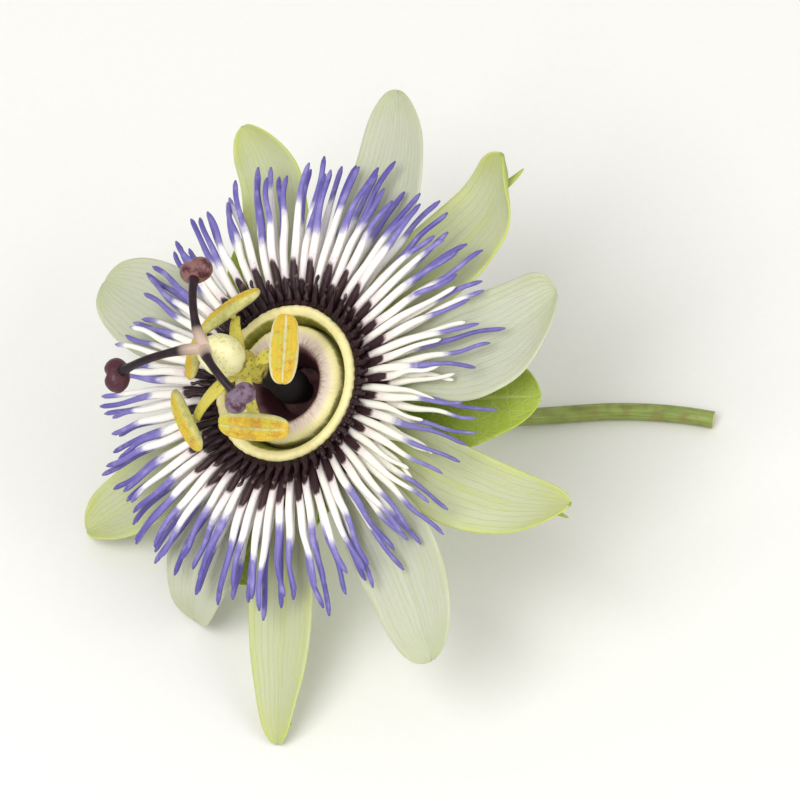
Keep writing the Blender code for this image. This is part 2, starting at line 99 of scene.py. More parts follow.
# For each sepal and petal: turn off an even fifth of the circle, length and width in mm, then the
# fall from root to tip, the curl of the outer third and the twist, in degrees, and its bow in mm
SEPALS = (
    (10.2, 27.4, 11.0, -9.2, 20, 8, 0.0),
    (-2.7, 35.0, 9.8, -12.4, 8, -4, 0.0),
    (-0.8, 30.8, 10.8, -12.6, 30, 6, -3.5),
    (0.0, 30.6, 12.4, -16.9, 62, -10, -2.9),
    (-12.0, 30.0, 9.8, -14.4, 55, 4, -1.2),
)
PETALS = (
    (5.9, 25.0, 11.6, -19.4, -30, -4, 0.0),
    (-4.3, 30.0, 12.0, -10.8, -10, 5, 3.0),
    (4.7, 26.4, 14.0, -13.6, 12, -6, -3.8),
    (-8.0, 31.4, 11.2, -10.9, 6, 3, -3.8),
    (-5.8, 28.1, 12.5, -14.8, 14, 6, 0.0),
)
# How blunt each tip is: below 2 it is drawn out, above 2 it is squared off
SEPAL_POINTS = (2.6, 1.65, 1.8, 2.3, 2.6)
PETAL_POINTS = (2.2, 2.9, 3.4, 1.7, 3.0)
# Where each whorl starts, in degrees and mm, its slope there, and the shape that its blades share
SEPAL_WHORL = {"first": -26.5, "height": -3.0, "slope": -6.0, "ruffle": 0.7, "seed": 1.0}
PETAL_WHORL = {"first": 9.5, "height": -0.75, "slope": -5.0, "ruffle": 1.0, "seed": 11.0}
SEPAL_SHAPE = {"cup": 0.26, "keel": 0.55, "hood": 0.9, "groove": 0.1}
PETAL_SHAPE = {"cup": 0.15, "keel": 0.16, "hood": 0.35, "groove": 0.2}
BRACT_SHAPE = {"cup": 0.24, "keel": 0.3, "hood": 0.2, "groove": 0.22}
CURL_FROM = 0.62  # share of a blade's length where its curl starts
BLADE_ROWS = 64
TUCK = 0.9  # how far a root reaches into what carries it
AWN_AT = 0.86
AWN_LENGTH = 3.4
AWN_R = 0.7
AWN_SPLAY = 38.0
AWN_CURL = 24.0
AWN_SUNK = 0.55
AWN_STEPS = 14
BRACTS = ((18.0, 25.0), (138.0, 29.5), (258.0, 27.0))  # turn in degrees, length in mm
BRACT_BELOW = 13.0
BRACT_ROOT_R = 2.1
BRACT_RISE = 24.0
BRACT_FALL = -34.0

# The rows of the crown: heights and lengths in mm, rise and fall in degrees
CROWN_INNER_R = 10.45
CROWN_ROOT_R = 11.15
ROW_KEYS = ("node", "z", "tall", "reach", "rise", "fall", "shift")
OUTER_ROW = dict(zip(ROW_KEYS, ("crown_outer", 0.3, 0.9, 20.35, 6.0, -24.0, 0.0)))
SECOND_ROW = dict(zip(ROW_KEYS, ("crown_second", 1.5, 0.9, 18.95, 13.0, -31.0, 0.5)))
SHORT_ROW = dict(zip(ROW_KEYS, ("crown_short", 2.7, 0.8, 4.35, 34.0, -14.0, 0.0)))
LONG_THREADS = 72
SHORT_THREADS = 54
THREAD_SWAY = 1.6
LONG_STATIONS = 26
SHORT_STATIONS = 16
# Where the crown is faded: heading and width in degrees, and depth from 0 to 1
FADED_SIDES = ((122.0, 46.0, 1.0), (300.0, 26.0, 0.45))
FADED_DARK = 2.9
LONG_SIDE = math.radians(230.0)

# The column and what stands on it
COLUMN_TOP = 12.0
COLUMN = (
    (0.6, 12.45), (1.6, 12.1), (1.92, 11.6), (1.95, 10.4), (1.62, 8.8), (1.5, 7.4), (1.5, 5.4),
    (1.62, 4.2), (2.0, 3.0), (2.35, 1.7), (2.2, 0.5), (1.5, -0.9), (1.4, -1.4),
)
OVARY_R = 2.75
OVARY_BASE = 12.1
OVARY_TOP = 18.9
OVARY_STEPS = 32
STAMENS = ((-5.0, 8.2, -1), (68.0, 6.0, -30), (151.0, 3.9, -6), (254.0, 5.4, 10), (304.0, 5.6, 52))
STRAP_ROOT_R = 2.25
STRAP_BELOW = 1.2
STRAP_RISE = 14.0
STRAP_BEND = -44.0
STRAP_WIDTH = 2.2
STRAP_THICK = 0.7
STRAP_RIM = 0.2
STRAP_GAP = 0.3
ANTHER_LENGTH = 9.8
ANTHER_WIDTH = 3.8
ANTHER_THICK = 1.9
ANTHER_BLUNT = 2.7
ANTHER_BEND = 0.35
ANTHER_STATIONS = 84
ANTHER_SIDES = 56
ANTHER_PITCH = math.radians(46.0)
# For each anther: how far it is lime, rusty on its face and bleached on its wall, from 0 to 1
ANTHER_TINTS = ((0.8, 0.6, 0.1), (0.5, 0.8, 0.3), (0.4, 0.5, 0.8), (0.7, 0.6, 0.2), (0.35, 0.35, 0.1))
STYLES = ((244.0, 11.2, 20, -52), (330.0, 14.6, 24, -52), (91.0, 9.8, 16, -58))
STYLE_SPREAD = 1.1
STYLE_LIFT = 0.8
STIGMA_R = 2.05
STIGMA_ROWS = 29
STIGMA_SIDES = 40

# The stalk
STALK_R = 1.15
STALK_FLARE = 0.35
STALK_LIE = 17.0
STALK_VEER = math.radians(-44.0)
STALK_FLAT = 0.12
STALK_STEPS = 25
STALK_SIDES = 30

# The stage, in metres: half the table top, the place and size of each light, and the camera's view
TABLE_HALF = 3.0
LIGHTS = {"key_light": ((-0.35, -0.35, 0.75), 0.5), "fill_light": ((0.6, -0.25, 0.45), 0.6)}
SENSOR_WIDTH = 36.0  # mm
VIEW_WIDTH = 0.104


def shade(red, green, blue):
    """A colour as a painter mixes it, 0 to 255 a channel, in the linear values that shaders use."""
    mixed = (red, green, blue)
    return tuple(((c / 255.0 + 0.055) / 1.055) ** 2.4 if c > 10 else c / 3294.6 for c in mixed)


def colour_value(name, description, red, green, blue):
    return FloatVectorProperty(
        name=name, description=description, default=shade(red, green, blue), size=3, min=0.0, max=1.0,
        subtype="COLOR",
    )


def length_value(name, description, mm, low, high):
    return FloatProperty(
        name=name, description=description, default=mm * MM, min=low * MM, max=high * MM,
        subtype="DISTANCE", unit="LENGTH", precision=5,
    )


class BladeSettings(bpy.types.PropertyGroup):
    """Sepals, petals and bracts"""

    breadth: FloatProperty(
        name="Breadth", description="Widens or narrows every sepal and petal",
        default=1.0, min=0.5, max=1.6,
    )
    bract_width: length_value("Bract width", "Width of a bract near its root", 17.0, 4.0, 26.0)
    thickness: length_value("Thickness", "Thickness of a blade along its middle", 0.72, 0.2, 1.5)
    rim: length_value("Rim", "Thickness of a blade at its edge", 0.26, 0.1, 1.0)
    ruffle: length_value("Ruffle", "How far the edges wave up and down", 0.42, 0.0, 2.0)
    petal_white: colour_value("Petal white", "Face of the petals", 191, 194, 172)
    petal_green: colour_value("Petal green", "Roots and veins of the petals", 176, 186, 138)
    sepal_white: colour_value("Sepal cream", "Face of the sepals", 189, 194, 157)
    sepal_green: colour_value("Sepal green", "Tips and edges of the sepals", 186, 196, 98)
    back_green: colour_value("Back green", "Backs of the sepals and their keels", 122, 148, 74)
    bract_green: colour_value("Bract green", "Bracts under the bloom", 160, 179, 68)
    bract_vein: colour_value("Bract vein", "Veins of the bracts", 190, 205, 112)


class CrownSettings(bpy.types.PropertyGroup):
    """The crown of threads"""

    thread_width: length_value("Thread width", "Width of a long thread in its white zone", 1.12, 0.2, 1.6)
    wave: length_value("Wave", "How far the threads wander sideways near their tips", 0.42, 0.0, 2.0)
    clump: length_value("Clumping", "How far the tips draw together in bunches", 1.05, 0.0, 2.0)
    dark_until: length_value("Dark zone", "Mean radius where the dark roots end", 14.6, 11.0, 20.0)
    dark_spread: length_value("Dark spread", "How far that radius differs between threads", 1.7, 0.0, 5.0)
    white_until: length_value("White zone", "Mean radius where the white turns blue", 21.3, 12.0, 30.0)
    white_spread: length_value("White spread", "How far that radius differs between threads", 2.8, 0.0, 6.0)
    dark: colour_value("Dark purple", "Roots of the threads", 50, 22, 28)
    white: colour_value("White", "Middles of the threads", 250, 245, 240)
    blue: colour_value("Blue violet", "Outer half of the threads", 120, 110, 182)
    deep_blue: colour_value("Deep blue", "Tips of the threads", 92, 82, 160)


class CentreSettings(bpy.types.PropertyGroup):
    """The rings, the column and what it carries"""

    cream: colour_value("Ring cream", "Rim of the lid ring", 243, 232, 172)
    # The groove olive is partly the groove's own colour and partly painted shade in the narrow gap between
    # lid ring and collar.
    olive: colour_value("Groove olive", "Groove inside the lid ring", 128, 128, 46)
    pink: colour_value("Collar pink", "Inner edge of the collar", 230, 213, 196)
    bowl: colour_value("Bowl brown", "Floor of the bowl", 66, 36, 42)
    column: colour_value("Column green", "Column and straps", 206, 194, 86)
    spots: colour_value("Spot purple", "Spots of the column and straps", 96, 40, 62)
    ovary: colour_value("Ovary", "Ovary at the top of the column", 238, 232, 184)
    wall: colour_value("Anther wall", "Backs and edges of the anthers", 208, 202, 122)
    pollen: colour_value("Pollen gold", "Faces of the anthers", 218, 182, 48)
    style: colour_value("Style purple", "Styles", 24, 8, 16)
    stigma: colour_value("Stigma purple", "Heads of the styles", 74, 34, 44)
    stigma_rose: colour_value("Stigma rose", "Bloom on the upper head", 136, 92, 88)
    stigma_mauve: colour_value("Stigma mauve", "Bloom on the inner head", 124, 104, 124)


class StemSettings(bpy.types.PropertyGroup):
    """Stalk and cup"""

    green: colour_value("Stalk green", "Skin of the stalk and cup", 128, 146, 70)
    red: colour_value("Stalk flush", "Flush on the stalk's sunny side", 132, 104, 66)
    pith: colour_value("Pith", "Cut end of the stalk", 206, 206, 150)


class StageSettings(bpy.types.PropertyGroup):
    """Floor, lights and camera"""

    floor: colour_value("Floor", "Pale table top", 236, 235, 231)
    key: FloatProperty(
        name="Key light", description="Strength of the main soft light", default=5.0, unit="POWER"
    )
    fill: FloatProperty(
        name="Fill light", description="Strength of the second soft light", default=2.0, unit="POWER"
    )
    room: FloatProperty(
        name="Room light", description="Brightness of the white room", default=0.62, min=0.0
    )
    elevation: FloatProperty(
        name="Camera elevation", description="Height of the camera over the table as an angle",
        default=math.radians(55.0), subtype="ANGLE", unit="ROTATION",
    )
    lens: FloatProperty(
        name="Lens", description="Focal length", default=550.0, unit="CAMERA", subtype="DISTANCE_CAMERA"
    )


# ---------------------------------------------------------------- shapes


def smooth_step(t):
    t = min(max(t, 0.0), 1.0)
    return t * t * (3.0 - 2.0 * t)


def bell(t):
    """1 at the middle of a smooth hump, and falling to 0 on both sides."""
    return math.exp(-(t**2))


def rounded_end(u, start, length, power=2.0):
    """1 up to the start, then rounding off to 0 over the length."""
    return math.sqrt(max(1.0 - max((u - start) / length, 0.0) ** power, 0.0))


def heading(angle):
    """The level direction at an angle."""
    return Vector((math.cos(angle), math.sin(angle), 0.0))


def leftward(way):
    """The level direction to the left of another."""
    return Vector((-way.y, way.x, 0.0))


def upright(height):
    return Vector((0.0, 0.0, height))


def bent_line(length, angle_at, steps=120):
    """Points (distance out, height, angle) of a line that slopes angle_at(u) degrees at share u."""
    out = height = 0.0
    points = [(0.0, 0.0, math.radians(angle_at(0.0)))]
    for step in range(steps):
        angle = math.radians(angle_at((step + 0.5) / steps))
        out += math.cos(angle) * length / steps
        height += math.sin(angle) * length / steps
        points.append((out, height, math.radians(angle_at((step + 1) / steps))))
    return points


def along_line(line, u):
    """The point of a bent line at share u, between its two nearest points."""
    spot = min(max(u, 0.0), 1.0) * (len(line) - 1)
    index = min(int(spot), len(line) - 2)
    part = spot - index
    return tuple(a + (b - a) * part for a, b in zip(line[index], line[index + 1]))


def rounded(points, closed, finer=4):
    """A smooth curve through the points, with finer steps between each two."""
    count = len(points)
    made = []
    for i in range(count if closed else count - 1):
        near = [i + k if closed else min(max(i + k, 0), count - 1) for k in (-1, 0, 1, 2)]
        p = [Vector(points[k % count]) for k in near]
        for step in range(finer):
            t = step / finer
            straight = 2.0 * p[1] + (p[2] - p[0]) * t
            curved = (2.0 * p[0] - 5.0 * p[1] + 4.0 * p[2] - p[3]) * t * t
            eased = (3.0 * p[1] - p[0] - 3.0 * p[2] + p[3]) * t * t * t
            made.append(0.5 * (straight + curved + eased))
    if not closed:
        made.append(Vector(points[-1]))
    return made


def bloom_place():
    """Where the bloom sits and how it leans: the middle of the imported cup's top, in its own axes."""
    turn = Euler((0.0, FACE_TILT, FACE_HEADING), "XYZ").to_matrix()
    inverse = turn.transposed()
    corners = [inverse @ vert.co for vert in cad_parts["floral_cup"].data.vertices]
    x, y = ((min(c[k] for c in corners) + max(c[k] for c in corners)) / 2.0 for k in (0, 1))
    middle = Vector((x, y, max(c.z for c in corners)))
    return Matrix.Translation(turn @ middle) @ turn.to_4x4()


BLOOM = bloom_place()
SPINE = (
    BLOOM
    @ Matrix.Rotation(COLUMN_LEAN_TOWARDS, 4, "Z")
    @ Matrix.Rotation(COLUMN_LEAN, 4, "Y")
    @ Matrix.Rotation(-COLUMN_LEAN_TOWARDS, 4, "Z")
)
WHOLE = (0.0, 0.0, 1.0, 1.0)  # all of a piece's map
FACE, BACK = 0, 1  # the two finishes of a blade


class Shell:
    """Gathers one piece's points in mm, with the values its finish reads, and its faces."""

    def __init__(self):
        self.points = []
        self.along = []
        self.across = []
        self.strand = []
        self.faces = []
        self.corners = []
        self.finishes = []
        self.marks = {}

    def mark(self, **values):
        """Gives the points added since the last marks these values."""
        for key, value in values.items():
            numbers = self.marks.setdefault(key, [])
            numbers.extend([value] * (len(self.points) - len(numbers)))

    def add(self, place, along, across, strand=0.0):
        self.points.append(Vector(place))
        self.along.append(along)
        self.across.append(across)
        self.strand.append(strand)
        return len(self.points) - 1

    def join(self, rows, area, finishes=0, closed=True):
        """Faces between rows of points, laid out in one area (left, low, right, high) of the map."""
        left, low, right, high = area
        for i in range(len(rows) - 1):
            count = len(rows[i])
            spans = count if closed else count - 1
            y0 = low + (high - low) * i / (len(rows) - 1)
            y1 = low + (high - low) * (i + 1) / (len(rows) - 1)
            for j in range(spans):
                k = (j + 1) % count
                x0 = left + (right - left) * j / spans
                x1 = left + (right - left) * (j + 1) / spans
                self.faces.append((rows[i][j], rows[i][k], rows[i + 1][k], rows[i + 1][j]))
                self.corners.append(((x0, y0), (x1, y0), (x1, y1), (x0, y1)))
                self.finishes.append(finishes if isinstance(finishes, int) else finishes[j])

    def cap(self, row, middle, area, finish=0):
        """A fan of faces from a closed row to a middle point."""
        left, low, right, high = area
        for j in range(len(row)):
            x0 = left + (right - left) * j / len(row)
            x1 = left + (right - left) * (j + 1) / len(row)
            self.faces.append((row[j], row[(j + 1) % len(row)], middle))
            self.corners.append(((x0, low), (x1, low), ((x0 + x1) / 2.0, high)))
            self.finishes.append(finish)

    def body(self, rows, area=WHOLE, finishes=0, end_finish=0, strand=0.0, middles=None):
        """Joins closed rows and caps the first and the last, at given middles or their own."""
        left, low, right, high = area
        edge = (high - low) * 0.02
        self.join(rows, (left, low + edge, right, high - edge), finishes)
        ends = [rows[0], rows[-1]]
        middles = middles or [sum((self.points[k] for k in row), Vector()) / len(row) for row in ends]
        bands = ((low + edge, low), (high - edge, high))
        for row, middle, (inner, outer), along in zip(ends, middles, bands, (0.0, 1.0)):
            tip = self.add(middle, along, 0.0, strand)
            self.cap(row, tip, (left, inner, right, outer), end_finish)

    def rest_on_table(self, spot):
        """Flattens what would sink into the table."""
        back = spot.inverted()
        for index, point in enumerate(self.points):
            world = spot @ (point * MM)
            if world.z < 0.0:
                world.z = 0.0
                self.points[index] = back @ world / MM

    def mesh(self, name, spot):
        made = bpy.data.meshes.new(name)
        made.from_pydata([spot @ (point * MM) for point in self.points], [], self.faces)
        chart = made.uv_layers.new(name="OFBake")
        chart.data.foreach_set("uv", [c for face in self.corners for corner in face for c in corner])
        made.polygons.foreach_set("material_index", self.finishes)
        values = {
            "along": self.along,
            "across": self.across,
            "strand": self.strand,
            "reach": [math.hypot(p.x, p.y) for p in self.points],
            "height": [p.z for p in self.points],
            **self.marks,
        }
        for key, numbers in values.items():
            made.attributes.new(key, "FLOAT", "POINT").data.foreach_set("value", numbers)
        tidy = bmesh.new()
        tidy.from_mesh(made)
        bmesh.ops.recalc_face_normals(tidy, faces=tidy.faces)
        tidy.to_mesh(made)
        tidy.free()
        made.shade_smooth()
        return made


def put(shell, name, node, spot, slot, *finishes):
    """Makes the shell an object at its spot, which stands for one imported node."""
    piece = bpy.data.objects.new(name, shell.mesh(name, spot))
    bpy.context.scene.collection.objects.link(piece)
    for finish in finishes:
        piece.data.materials.append(finish)
    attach(piece, BODY)
    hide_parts(node)


def tube(
    shell, places, sizes, sides, area=WHOLE, up=UP, strand=0.0, flat=1.0, finish=FACE, ripple=None
):
    """A closed tube through the places; sizes are its half widths, and flat its share of height."""
    rows = []
    last = len(places) - 1
    for i, (place, size) in enumerate(zip(places, sizes)):
        ahead = (places[min(i + 1, last)] - places[max(i - 1, 0)]).normalized()
        side = up.cross(ahead).normalized()
        top = ahead.cross(side)
        row = []
        for j in range(sides):
            turn = TAU * j / sides
            swell = ripple(i / last, turn) if ripple else 1.0
            beside = side * (math.cos(turn) * size * swell)
            above = top * (math.sin(turn) * (size * flat) * swell)
            row.append(shell.add(place + (beside + above), i / last, math.sin(turn), strand))
        rows.append(row)
    shell.body(rows, area, finish, finish, strand, (places[0], places[-1]))


def turned(shell, outline, sides, closed, ripple=None, area=WHOLE):
    """A ring or post from an outline of (radius, height), turned about the axis."""
    columns = []
    for j in range(sides):
        turn = TAU * j / sides
        column = []
        for i, (radius, height) in enumerate(outline):
            dr, dz = ripple(turn, radius, height) if ripple else (0.0, 0.0)
            r = max(radius + dr, 0.0)
            place = (r * math.cos(turn), r * math.sin(turn), height + dz)
            column.append(shell.add(place, i / len(outline), j / sides))
        columns.append(column)
    shell.join([*columns, columns[0]], area, closed=closed)


# ---------------------------------------------------------------- sepals, petals and bracts


def sepal_half_width(u, width, point):
    """Widest below the middle, drawn out to a narrow hooked tip."""
    body = 0.66 + 0.34 * math.sin(math.pi * min(u / 0.62, 1.0) ** 0.9 * 0.5)
    return width / 2.0 * body * rounded_end(u, 0.34, 0.66, point)


def petal_half_width(u, width, point):
    """Narrow at the root and widest near the middle; the tip is blunt or drawn out."""
    body = 0.56 + 0.44 * smooth_step(u / 0.55)
    return width / 2.0 * body * rounded_end(u, 0.46, 0.54, point)


def bract_half_width(u, width, point):
    """Egg-shaped, clasping the stalk with a narrow root."""
    body = 0.13 + 0.87 * smooth_step(u / 0.4)
    return width / 2.0 * body * rounded_end(u, 0.3, 0.7, point)


def strap_half_width(u, width, point):
    """Narrow where five crowd round the column, widest a third of the way out."""
    return width / 2.0 * (0.6 + 0.4 * smooth_step(u * 3.0) - 0.4 * u)


class Blade:
    """A leaf-like sheet along a bent line: its middle surface, its thickness and its keel."""

    def __init__(self, line, half_width, width, root_r, seed, thick, rim, ruffle=0.0, point=2.0,
                 cup=0.0, twist=0.0, bow=0.0, keel=0.0, hood=0.0, groove=0.0, rod=False):
        self.line = line
        self.half_width = half_width
        self.width = width
        self.root_r = root_r
        self.seed = seed
        self.thick = thick
        self.rim = rim
        self.ruffle = ruffle
        self.point = point
        self.cup = cup
        self.twist = math.radians(twist)
        self.bow = bow
        self.keel = keel
        self.hood = hood
        self.groove = groove
        self.rod = rod

    def middle(self, u, across):
        u = max(u, 0.0)
        out, height, angle = along_line(self.line, u)
        width = self.half_width(u, self.width, self.point)
        side = across * width
        lift = self.cup * width * across * across * smooth_step(u * 2.5)
        side, lift = (
            side * math.cos(self.twist * u) - lift * math.sin(self.twist * u),
            side * math.sin(self.twist * u) + lift * math.cos(self.twist * u),
        )
        lift += self.waves(u, across, width)
        round_root = (1.0 - smooth_step(u * 3.0)) * side * side / (2.0 * self.root_r)
        return Vector(
            (
                self.root_r + out - lift * math.sin(angle) - round_root,
                side + self.bow * 4.0 * u * (1.0 - u),
                height + lift * math.cos(angle),
            )
        )

    def upward(self, u):
        """The way the face looks at share u."""
        angle, lean = along_line(self.line, max(u, 0.0))[2], self.twist * u
        level = math.cos(lean)
        return Vector((-math.sin(angle) * level, -math.sin(lean), math.cos(angle) * level))

    def waves(self, u, across, width):
        """The small rise and fall of the surface: waving edges, a hooded tip and a middle groove."""
        grow = smooth_step(u * 2.2) * (1.0 - 0.6 * smooth_step((u - 0.85) / 0.15))
        edge = abs(across) ** 1.7
        side = 1.0 if across > 0 else -1.0
        swing = math.sin(u * (9.0 + side * 1.3) + self.seed * 2.1 + side * 1.1)
        swing += 0.55 * math.sin(u * (17.0 - side * 2.0) + self.seed * 3.7 + side * 0.6)
        broad = noise.noise(Vector((u * 2.6, across * 1.3, self.seed * 7.3)))
        lift = self.ruffle * (edge * swing * grow * 0.7 + 0.9 * broad * grow)
        lift += self.hood * smooth_step((u - 0.7) / 0.3) * abs(across) ** 1.5 * min(width / 3.2, 1.0)
        lift -= self.groove * bell(across / 0.11) * (1.0 - 0.75 * u)
        return lift

    def depth(self, u, across):
        """Half the thickness: a rod is round, and a leaf thins to its rim."""
        if self.rod:
            return self.thick / 2.0 * math.sqrt(max(1.0 - 0.72 * across * across, 0.05))
        thin = (1.0 - across * across) ** 0.7 if abs(across) < 1.0 else 0.0
        tip = 1.0 - 0.45 * smooth_step((u - 0.75) / 0.25)
        return (self.rim + (self.thick - self.rim) * thin) / 2.0 * tip

    def ridge(self, u, across):
        """How far the keel stands off the back."""
        swell = 0.35 + 0.65 * smooth_step(u / 0.8)
        fade = 1.0 - smooth_step((u - 0.88) / 0.12)
        return self.keel * swell * fade * bell(across / 0.13)


def lay_blade(shell, blade, turn, height, rows, columns, tuck, strand, area=WHOLE):
    """Builds both faces of a blade as one closed skin, and turns it to its place in the whorl."""
    spin = Matrix.Rotation(math.radians(turn), 3, "Z")
    rise = upright(height)
    loops = []
    for i in range(-1, rows + 1):
        u = min(1.0 - (1.0 - max(i, 0) / rows) ** 1.7, 0.9985)
        front, back = [], []
        for j in range(columns + 1):
            across = -1.0 + 2.0 * j / columns
            here = blade.middle(u, across)
            ahead = blade.middle(min(u + 0.004, 0.9995), across) - blade.middle(u - 0.004, across)
            beside = blade.middle(u, across + 0.02) - blade.middle(u, across - 0.02)
            normal = ahead.cross(beside).normalized()
            if normal.dot(blade.upward(u)) < 0.0:
                normal.negate()
            if i < 0:
                here = here - ahead.normalized() * tuck
            depth = blade.depth(u, across)
            front.append((here + normal * depth, across))
            back.append((here - normal * (depth + blade.ridge(u, across)), across))
        reach = (front[-1][0] - front[0][0]).normalized() * blade.rim * 0.45
        far = (front[-1][0] + back[-1][0]) / 2.0 + reach, 1.0
        near = (front[0][0] + back[0][0]) / 2.0 - reach, -1.0
        loop = [*front, far, *reversed(back), near]
        loops.append([shell.add(spin @ (place + rise), u, across, strand) for place, across in loop])
    shell.body(loops, area, [FACE] * (columns + 1) + [BACK] * (columns + 3), BACK, strand)


def lay_awn(shell, blade, turn, height, strand, area):
    """The little horn off the back of a sepal, near its tip."""
    angle = along_line(blade.line, AWN_AT)[2]
    down = Vector((math.sin(angle), 0.0, -math.cos(angle)))
    start = blade.middle(AWN_AT, 0.0) + upright(height) + down * AWN_SUNK
    spin = Matrix.Rotation(math.radians(turn), 3, "Z")
    places, sizes = [], []
    for step in range(AWN_STEPS + 1):
        s = step / AWN_STEPS
        lean = angle - math.radians(AWN_SPLAY) - math.radians(AWN_CURL) * (0.7 - s)
        if step:
            start = start + Vector((math.cos(lean), 0.0, math.sin(lean))) * AWN_LENGTH / AWN_STEPS
        places.append(spin @ start)
        sizes.append(AWN_R * (0.78 - 0.5 * s) * math.sqrt(max(1.0 - s**6, 0.02)))
    tube(shell, places, sizes, 12, area, spin @ Vector((0.0, 1.0, 0.0)), strand, finish=BACK)


# ---------------------------------------------------------------- finishes

RANGE_SOCKETS = ("Value", "From Min", "From Max", "To Min", "To Max")
MIX_SOCKETS = (0, 6, 7)  # the share and the two colours


class Finish:
    """A procedural finish in the making, with short names for the nodes it is built from."""

    def __init__(self, name, roughness, **sockets):
        self.material = bpy.data.materials.new(name)
        self.material.use_nodes = True
        self.tree = self.material.node_tree
        self.shader = self.tree.nodes["Principled BSDF"]
        self.shader.inputs["Roughness"].default_value = roughness
        for key, value in sockets.items():
            self.shader.inputs[key.replace("_", " ").title()].default_value = value

    def node(self, kind, **settings):
        made = self.tree.nodes.new(kind)
        for key, value in settings.items():
            setattr(made, key, value)
        return made

    def feed(self, socket, value):
        if isinstance(value, bpy.types.NodeSocket):
            self.tree.links.new(value, socket)
        elif isinstance(value, (float, int)):
            socket.default_value = value
        else:
            socket.default_value = (*value, 1.0)

    def read(self, name):
        return self.node("ShaderNodeAttribute", attribute_name=name).outputs["Fac"]

    def maths(self, operation, first, second=0.0, clamp=False):
        made = self.node("ShaderNodeMath", operation=operation, use_clamp=clamp)
        self.feed(made.inputs[0], first)
        self.feed(made.inputs[1], second)
        return made.outputs[0]

    def times(self, first, second):
        return self.maths("MULTIPLY", first, second)

    def plus(self, first, second, clamp=False):
        return self.maths("ADD", first, second, clamp)

    def minus(self, first, second):
        return self.maths("SUBTRACT", first, second)

    def span(self, value, low, high, first=0.0, last=1.0):
        """The value's smooth way from low to high, as a number from first to last."""
        made = self.node("ShaderNodeMapRange", interpolation_type="SMOOTHSTEP")
        for socket, number in zip(RANGE_SOCKETS, (value, low, high, first, last)):
            self.feed(made.inputs[socket], number)
        return made.outputs[0]

    def vary(self, value, first=0.0, last=1.0):
        """The value's way over the usual range of a noise, as a number from first to last."""
        return self.span(value, 0.3, 0.7, first, last)

    def vector(self, x, y, z=0.0):
        made = self.node("ShaderNodeCombineXYZ")
        for socket, value in zip(made.inputs, (x, y, z)):
            self.feed(socket, value)
        return made.outputs[0]

    def place(self):
        return self.node("ShaderNodeTexCoord").outputs["Object"]

    def set_up(self, made, **sockets):
        """Feeds a node's sockets, and gives the node back."""
        for name, value in sockets.items():
            self.feed(made.inputs[name], value)
        return made

    def noise(self, scale, detail=3.0, vector=None):
        """Cloudy noise, so many clouds a metre unless it follows a vector of its own."""
        made = self.node("ShaderNodeTexNoise")
        where = self.place() if vector is None else vector
        self.set_up(made, Vector=where, Scale=scale, Detail=detail, Roughness=0.55)
        return made.outputs["Fac"]

    def cells(self, scale, feature="F1"):
        made = self.node("ShaderNodeTexVoronoi", feature=feature)
        return self.set_up(made, Vector=self.place(), Scale=scale).outputs["Distance"]

    def mix(self, share, first, second):
        made = self.node("ShaderNodeMix", data_type="RGBA", clamp_factor=True)
        for socket, value in zip(MIX_SOCKETS, (share, first, second)):
            self.feed(made.inputs[socket], value)
        return made.outputs[2]

    def bump(self, height, distance, strength, over=None):
        """A normal from heights so many mm deep, over another normal where one is given."""
        made = self.node("ShaderNodeBump")
        self.set_up(made, Height=height, Distance=distance * MM, Strength=strength)
        if over:
            self.feed(made.inputs["Normal"], over)
        return made.outputs[0]

    def finish(self, colour, roughness, normal=None):
        self.feed(self.shader.inputs["Base Color"], colour)
        self.feed(self.shader.inputs["Roughness"], roughness)
        if normal:
            self.feed(self.shader.inputs["Normal"], normal)
        return self.material


def flesh(name, roughness, through, depth=1.1, **sockets):
    """A finish for soft plant flesh, which lets a little light so many mm into it."""
    made = Finish(name, roughness, **sockets)
    made.shader.inputs["Subsurface Weight"].default_value = through
    made.shader.inputs["Subsurface Radius"].default_value = (1.0, 0.9, 0.5)
    made.shader.inputs["Subsurface Scale"].default_value = depth * MM
    made.shader.inputs["IOR"].default_value = 1.42
    return made


